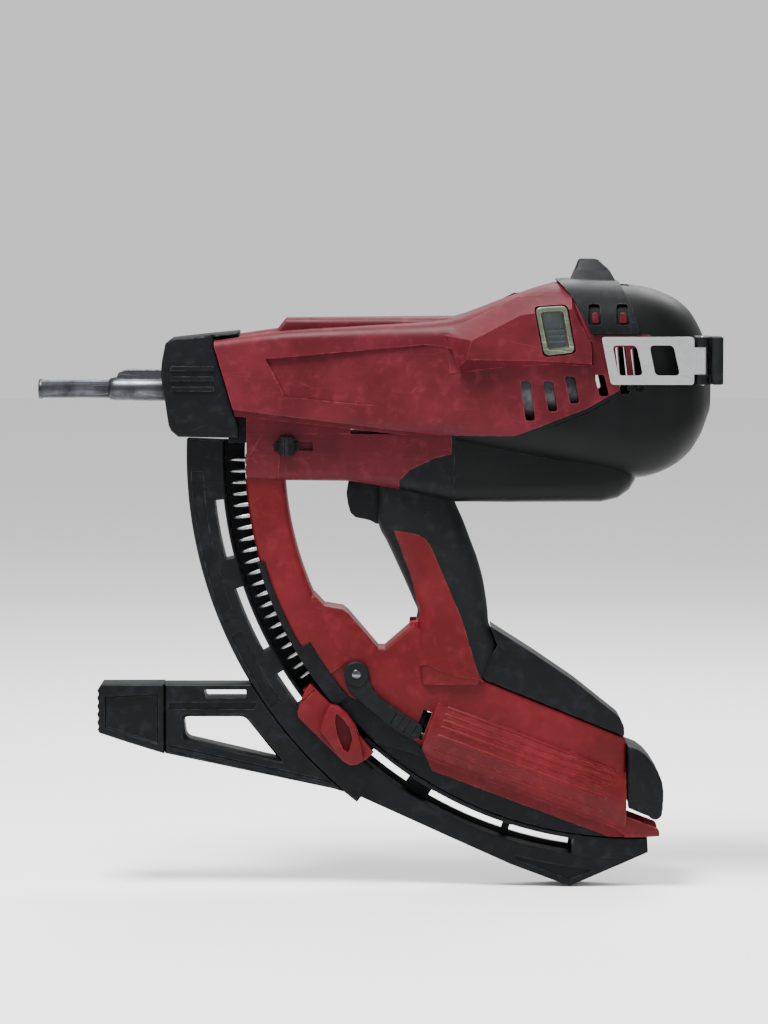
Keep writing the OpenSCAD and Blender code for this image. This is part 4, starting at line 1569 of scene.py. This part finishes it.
@dataclass
class Magazine:
    """The curved black magazine with its slots, the nail strip, the pusher and the latch."""

    half_w: float = 12.0
    nails: int = 21
    pitch: float = 7.4 / 251 * 180 / math.pi
    first: float = 0.6

    def build(self) -> None:
        """Makes the magazine and everything that it carries."""
        self._frame()
        self._nails()
        self._pusher()
        self._latch()

    def _frame(self) -> None:
        """The frame: an outer web, a track wall behind the nails and the solid tail."""
        w = self.half_w
        frame = arc_bar("magazine", 256.6, 280.6, -w, w, -2.2, 52, corner=2.2, steps=60)
        parts = (
            (244.2, 257.6, 8, w, -2.2, 83, 0.8), (244.2, 257.6, -w, w, 82, 93, 1.0),
            (256.6, 262, -w, w, 51, 93, 0.8), (244.2, 247, -w, 9, 47, 83, 0.4),
        )
        for r0, r1, y0, y1, start, end, corner in parts:
            carve(frame, arc_bar("bar", r0, r1, y0, y1, start, end, corner=corner, steps=50), "UNION")
        tail = arc(259, 88.6, 50, 40) + [
            (199, -257.2), (264.2, -286.9), (301, -303.4), (338.1, -317.3), (386.5, -296.2), (380, -291.5)
        ]
        carve(frame, plate("tail", tail, -w, w), "UNION")
        for s in (-1, 1):
            carve(frame, self._band(s, 270.2, 277.6, 2.0, 22.4, 0.8))
            carve(frame, self._band(s, 270.2, 277.6, 24.4, 35.2, 0.8))
            hollow = arc(264.9, 84, 74.4, 10) + [(303, -299.9), (337.8, -313), (353, -307.1)]
            carve(frame, flank("tail_hollow", hollow, s, 10.8, 20))
        carve(
            frame,
            plate(
                "below", [(338.3, -317.6), (390.5, -294.4), (420, -294), (420, -340), (338.3, -340)], -30,
                30
            )
        )
        slots = (
            (261.4, 6.4, 14.1), (261.4, 19, 28), (261.4, 32.2, 36.8), (250, 49.8, 55.8), (250, 60.3, 71.2),
            (250, 73, 81.2),
        )
        for radius, start, end in slots:
            carve(frame, self._slot(radius, start, end))
        for r0, start, end in ((240.4, 16, 31), (234, 30.2, 40.4)):
            rail = arc_bar("inner_rail", r0, 244.9, -17.9, -11.5, start, end, corner=0.7, steps=16)
            carve(frame, rail, "UNION")
        for x, z in ((104.7, -98.8), (137.8, -179.6)):
            for s in (-1, 1):
                mark = lathe(
                    "mark", [(0, 3.4), (0, 4.3), (1, 4.3), (1, 3.4)], along((x, s * w - 0.5, z), Y_AXIS),
                    40, hollow=True
                )
                carve(frame, mark)
        finish_piece(
            frame, Body.TOOL, BLACK_NYLON, ("magazine_frame",), edge=0.5, segments=2,
            angle=28
        )

    def _band(self, side: int, r0: float, r1: float, start: float, end: float, depth: float) -> Solid:
        """A shallow curved panel sunk into the web's side."""
        w = self.half_w
        y0, y1 = sorted((side * (w - depth), side * (w + 4)))
        return arc_bar("band", r0, r1, y0, y1, start, end, steps=30)

    def _slot(self, radius: float, start: float, end: float) -> Solid:
        """A see-through slot along the arc with rounded corners."""
        half = 2.9 if radius > 255 else 3.3
        outline = arc(
            radius - half, start - 0.35, end + 0.35, 16
        ) + arc(radius + half, end + 0.35, start - 0.35, 16)
        return plate("slot", outline, -40, 40)

    def _nails(self) -> None:
        """The nails, each in its plastic sleeve."""
        shanks, sleeves = bmesh.new(), bmesh.new()
        profile = [
            (236.6, 0), (236.6, 3.0), (236.9, 3.3), (237.4, 3.3), (237.7, 2.6), (238.2, 1.7), (239, 1.5),
            (247.2, 1.5), (252.2, 0.95), (255.6, 0.12), (255.6, 0),
        ]
        for i in range(self.nails):
            place = Matrix.Translation((ARC_X, 0, ARC_Z)) @ Matrix.Rotation(
                -math.radians(self.first + i * self.pitch), 4, "Y"
            ) @ Matrix.Rotation(-math.pi / 2, 4, "Y")
            lathe_mesh(shanks, profile, place, 20)
            sleeve = [(238.7, 1.56), (238.7, 3.1), (239.2, 3.6), (243, 3.6), (243.5, 3.1), (243.5, 1.56)]
            lathe_mesh(sleeves, sleeve, place, 20, hollow=True)
        finish_piece(
            new_object("nail_strip", shanks), Body.TOOL, NAIL_ZINC, ("nails",), edge=0.0
        )
        finish_piece(
            new_object("nail_sleeves", sleeves), Body.TOOL, COLLATION_PE, ("collation_strip",),
            edge=0.0
        )

    def _pusher(self) -> None:
        """The red pusher with its finger loop outside the magazine."""
        pusher = arc_bar("pusher_slide", 247.6, 255.2, -13, 6.5, 35.8, 41, corner=0.8, steps=8)
        plate_outline = [
            (172.5, -186.4), (168.2, -193.5), (164.3, -204.8), (165.2, -208.6), (167.5, -211),
            (193.4, -236.4), (198, -238.4), (202.9, -238.3), (208.6, -235), (213, -230.7), (201, -216),
            (187.7, -201.6),
        ]
        carve(pusher, plate("plate", plate_outline, -17, -12.4, rim=0.8), "UNION")
        loop = [
            (185.4, -199.2), (181, -207), (178.6, -215.5), (193.4, -235.4), (198, -238), (202.4, -237.6),
            (207, -233.6), (205.4, -226), (203.6, -219), (201.6, -212.6), (196.6, -205.6), (190.4, -200.2),
        ]
        carve(pusher, plate("loop", loop, -25, -16.6, rim=1.5), "UNION")
        hole = [
            (189, -204.4), (194.2, -208.8), (198.2, -215), (199.4, -221.5), (197, -230), (193.4, -227.6),
            (190.0, -218.5), (188.4, -210.6)
        ]
        carve(pusher, plate("finger_hole", hole, -40, -18.1))
        for x, z in ((170.4, -198.2), (175.2, -193.4)):
            carve(
                pusher,
                plate(
                    "grip_line",
                    [(x - 4, z - 1.5), (x + 3, z + 4.6), (x + 2.2, z + 5.6), (x - 4.8, z - 0.5)], -18, -16.4
                )
            )
        finish_piece(pusher, Body.PUSHER, RED_FRAME, ("pusher",), edge=0.4)

    def _latch(self) -> None:
        """The lever that frees the magazine, and its pin."""
        lever = lathe(
            "latch_arm", [(0, 0), (0, 8), (5.2, 8), (6, 7.2), (6, 0)],
            along((202, -16.4, -180), (0, -1, 0)), 56
        )
        outline = [
            (194.2, -182), (198, -174.6), (203, -172.2), (208, -174.6), (210, -181), (211.4, -187),
            (216, -194.2), (229, -203.5), (242.8, -212.6), (244.2, -216), (241.6, -221), (236, -221.4),
            (222, -213), (203, -197), (196.6, -190),
        ]
        carve(lever, plate("arm", outline, -21.6, -16.4, rim=1.4), "UNION")
        carve(lever, rod("pin_room", (202, -40, -180), Y_AXIS, 3.05, 40, 32))
        for i in range(4):
            x, z = 226 + i * 4.2, -206.6 - i * 2.75
            carve(
                lever,
                plate(
                    "grip_line",
                    [(x - 3.4, z - 5.2), (x - 2.6, z - 5.6), (x + 3.2, z + 3), (x + 2.4, z + 3.4)], -23,
                    -21.1
                )
            )
        finish_piece(lever, Body.LATCH, SOFT_RUBBER, ("latch_lever",), edge=0.35)
        pin = lathe(
            "latch_hinge_pin", [(0, 0), (0, 2.4), (0.6, 3), (12.2, 3), (12.7, 2.5), (12.7, 0)],
            along((202, -22.9, -180), Y_AXIS), 36
        )
        finish_piece(pin, Body.TOOL, DARK_STEEL, ("latch_pin",), edge=0.0)


@dataclass
class SupportLeg:
    """The leg that keeps the tool square to the work, with its window, ribs and foot."""

    half_w: float = 12.0

    def build(self) -> None:
        """Makes the leg and the foot."""
        w = self.half_w
        outline = [
            (79.8, -187.6), (134, -187.6), (136.6, -184.6), (135.6, -178.4), (150, -187.6), (216, -250),
            (212, -262), (205.4, -260.4), (187, -254.8), (79.8, -232),
        ]
        leg = plate("leg", outline, -w, w, rim=1.8)
        window = [(91.6, -208.6), (130.8, -208.6), (152.6, -236.0), (93.4, -222.2)]
        for s in (-1, 1):
            near = [(88.6, -205.4), (132.6, -205.4), (158.8, -240.2), (89.6, -224.6)]
            carve(leg, tapered("reveal", near, s * 14, window, s * 8.5, corner=3.2))
            for low, high in ((-5.6, -4.4), (-8.8, -7.8)):
                line = [
                    (82.5, -222.0 + low), (196, -247.6 + low), (196, -247.6 + high), (82.5, -222.0 + high)
                ]
                carve(leg, flank("line", line, s, 11.3, 20))
            groove = [(82.6, -199.2), (139, -199.2), (137, -203.6), (82.6, -203.6)]
            carve(leg, flank("groove", groove, s, 10.9, 20))
        carve(leg, plate("window", window, -40, 40, corner=3.0))
        carve(
            leg,
            plate(
                "slot", [(104.9, -191.0), (131.8, -191.0), (131.8, -196.6), (106, -196.6)], -40, 40,
                corner=0.8
            )
        )
        carve(
            leg,
            plate(
                "below", [(199.5, -257.6), (264.2, -287.1), (264, -310), (187, -310), (187, -255.6)], -30,
                30
            )
        )
        carve(leg, arc_bar("magazine_room", 150, 280.65, -60, 60, 10, 80, steps=90))
        finish_piece(leg, Body.TOOL, BLACK_NYLON, ("support_leg",), edge=0.5, angle=28)
        self._foot()

    def _foot(self) -> None:
        """The pad at the front: scalloped face, sunken side panels."""
        foot = plate("foot", [
            (39.6, -187.5), (79.4, -187.4), (79.4, -232), (58, -225.4), (38.2, -218.8), (36.9, -216.6),
            (36.9, -191.6),
        ], -14, 14, rim=1.6)
        for s in (-1, 1):
            outer = [(41.4, -195.0), (76, -193.2), (76, -226.6), (41.4, -215.8)]
            inner = [(42.6, -196.4), (74.6, -194.8), (74.6, -224.6), (42.6, -214.6)]
            carve(foot, tapered("panel", outer, s * 14.6, inner, s * 12.0, corner=1.0))
        for i in range(5):
            z = -214.6 + i * 5.2
            carve(foot, rod("scallop", (35.3, -30, z), Y_AXIS, 2.5, 60, 24))
        finish_piece(foot, Body.TOOL, BLACK_NYLON, ("foot_pad",), edge=0.45)


# ---------------------------------------------------------------- inner parts, stage and view

CAD_FINISHES = {
    "press_linkage": PLAIN_STEEL, "chamber_sleeve": CAST_ALLOY, "press_spring": PLAIN_STEEL,
    "air_filter": FILTER_FOAM, "trigger_spring": PLAIN_STEEL, "piezo_igniter": IGNITER_BRASS,
    "cylinder_tube": CAST_ALLOY, "bumper": SOFT_RUBBER, "piston": PLAIN_STEEL,
    "cylinder_head": CAST_ALLOY, "spark_plug": GLAZED_CERAMIC, "gas_can": CAN_ALUMINIUM,
    "metering_valve": BLACK_NYLON, "cover_pin": PLAIN_STEEL, "housing_screws": PLAIN_STEEL,
}


def dress_cad(nodes: dict[str, Solid]) -> None:
    """Gives each CAD node that stays visible its material.

    Args:
        nodes: The CAD nodes by name.
    """
    for name, finish in CAD_FINISHES.items():
        nodes[name].data.materials.clear()
        nodes[name].data.materials.append(finish.make())
        LOG.info("%s: %s", name, finish.name)


@dataclass
class Studio:
    """A pale floor, soft lamps and the camera."""

    target: Spot = (0.2195, 0.0, -0.0785)
    azimuth: float = 0.0
    elevation: float = 4.5
    distance: float = 2.72
    lens_mm: float = 150.0

    def build(self, lowest: float) -> None:
        """Sets the stage.

        Args:
            lowest: Height of the object's lowest point in metres.
        """
        self._floor(lowest)
        self._world()
        self._lamp("key", (-0.35, -0.5, 1.35), 0.6, 75.0)
        self._lamp("fill", (1.1, -1.3, 0.5), 1.0, 5.0)
        self._lamp("rim", (0.4, 0.9, 1.0), 0.8, 22.0)
        self._camera()

    def _floor(self, lowest: float) -> None:
        """A plain pale floor."""
        bm = bmesh.new()
        bmesh.ops.create_grid(bm, x_segments=1, y_segments=1, size=6.0)
        bmesh.ops.translate(bm, verts=bm.verts[:], vec=(0, 0, lowest - 0.0005))
        floor = new_object("floor", bm)
        mat = bpy.data.materials.new("floor_paper")
        mat.use_nodes = True
        shader = mat.node_tree.nodes["Principled BSDF"]
        shader.inputs["Base Color"].default_value = linear("f4f4f4")
        shader.inputs["Roughness"].default_value = 0.9
        floor.data.materials.append(mat)
        floor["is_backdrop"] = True

    def _world(self) -> None:
        """An even, bright surrounding."""
        world = bpy.data.worlds.new("studio")
        world.use_nodes = True
        back = world.node_tree.nodes["Background"]
        back.inputs["Color"].default_value = linear("ffffff")
        back.inputs["Strength"].default_value = 0.85
        bpy.context.scene.world = world

    def _lamp(self, name: str, place: Spot, size: float, power: float) -> None:
        """A square soft light that faces the object."""
        lamp = bpy.data.lights.new(name, "AREA")
        lamp.size = size
        lamp.energy = power
        obj = bpy.data.objects.new(name, lamp)
        obj.location = Vector(self.target) + Vector(place)
        obj.rotation_euler = (Vector(self.target) - obj.location).to_track_quat("-Z", "Y").to_euler()
        bpy.context.scene.collection.objects.link(obj)
        obj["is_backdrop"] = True

    def _camera(self) -> None:
        """Looks at the tool's left side from slightly above."""
        camera = bpy.data.cameras.new("view")
        camera.lens = self.lens_mm
        camera.sensor_width = 36.0
        obj = bpy.data.objects.new("view", camera)
        tilt = math.radians(self.elevation)
        turn = math.radians(self.azimuth)
        away = Vector((-math.sin(turn) * math.cos(tilt), -math.cos(turn) * math.cos(tilt), math.sin(tilt)))
        obj.location = Vector(self.target) + away * self.distance
        obj.rotation_euler = (-away).to_track_quat("-Z", "Y").to_euler()
        bpy.context.scene.collection.objects.link(obj)
        bpy.context.scene.camera = obj


def main() -> None:
    """Builds the whole scene."""
    logging.basicConfig(level=logging.INFO, format="%(name)s: %(message)s")
    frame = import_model()
    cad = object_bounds()
    for part in (
        UpperBody(), Windows(), RearBody(), FilterCover(), BeltHook(), Handle(), LowerFrame(),
        CanCover(), Nose(), Adjuster(), Magazine(), SupportLeg(),
    ):
        part.build()
    dress_cad(frame["nodes"])
    Studio().build(float(cad[0][2]))


if __name__ == "__main__":
    main()
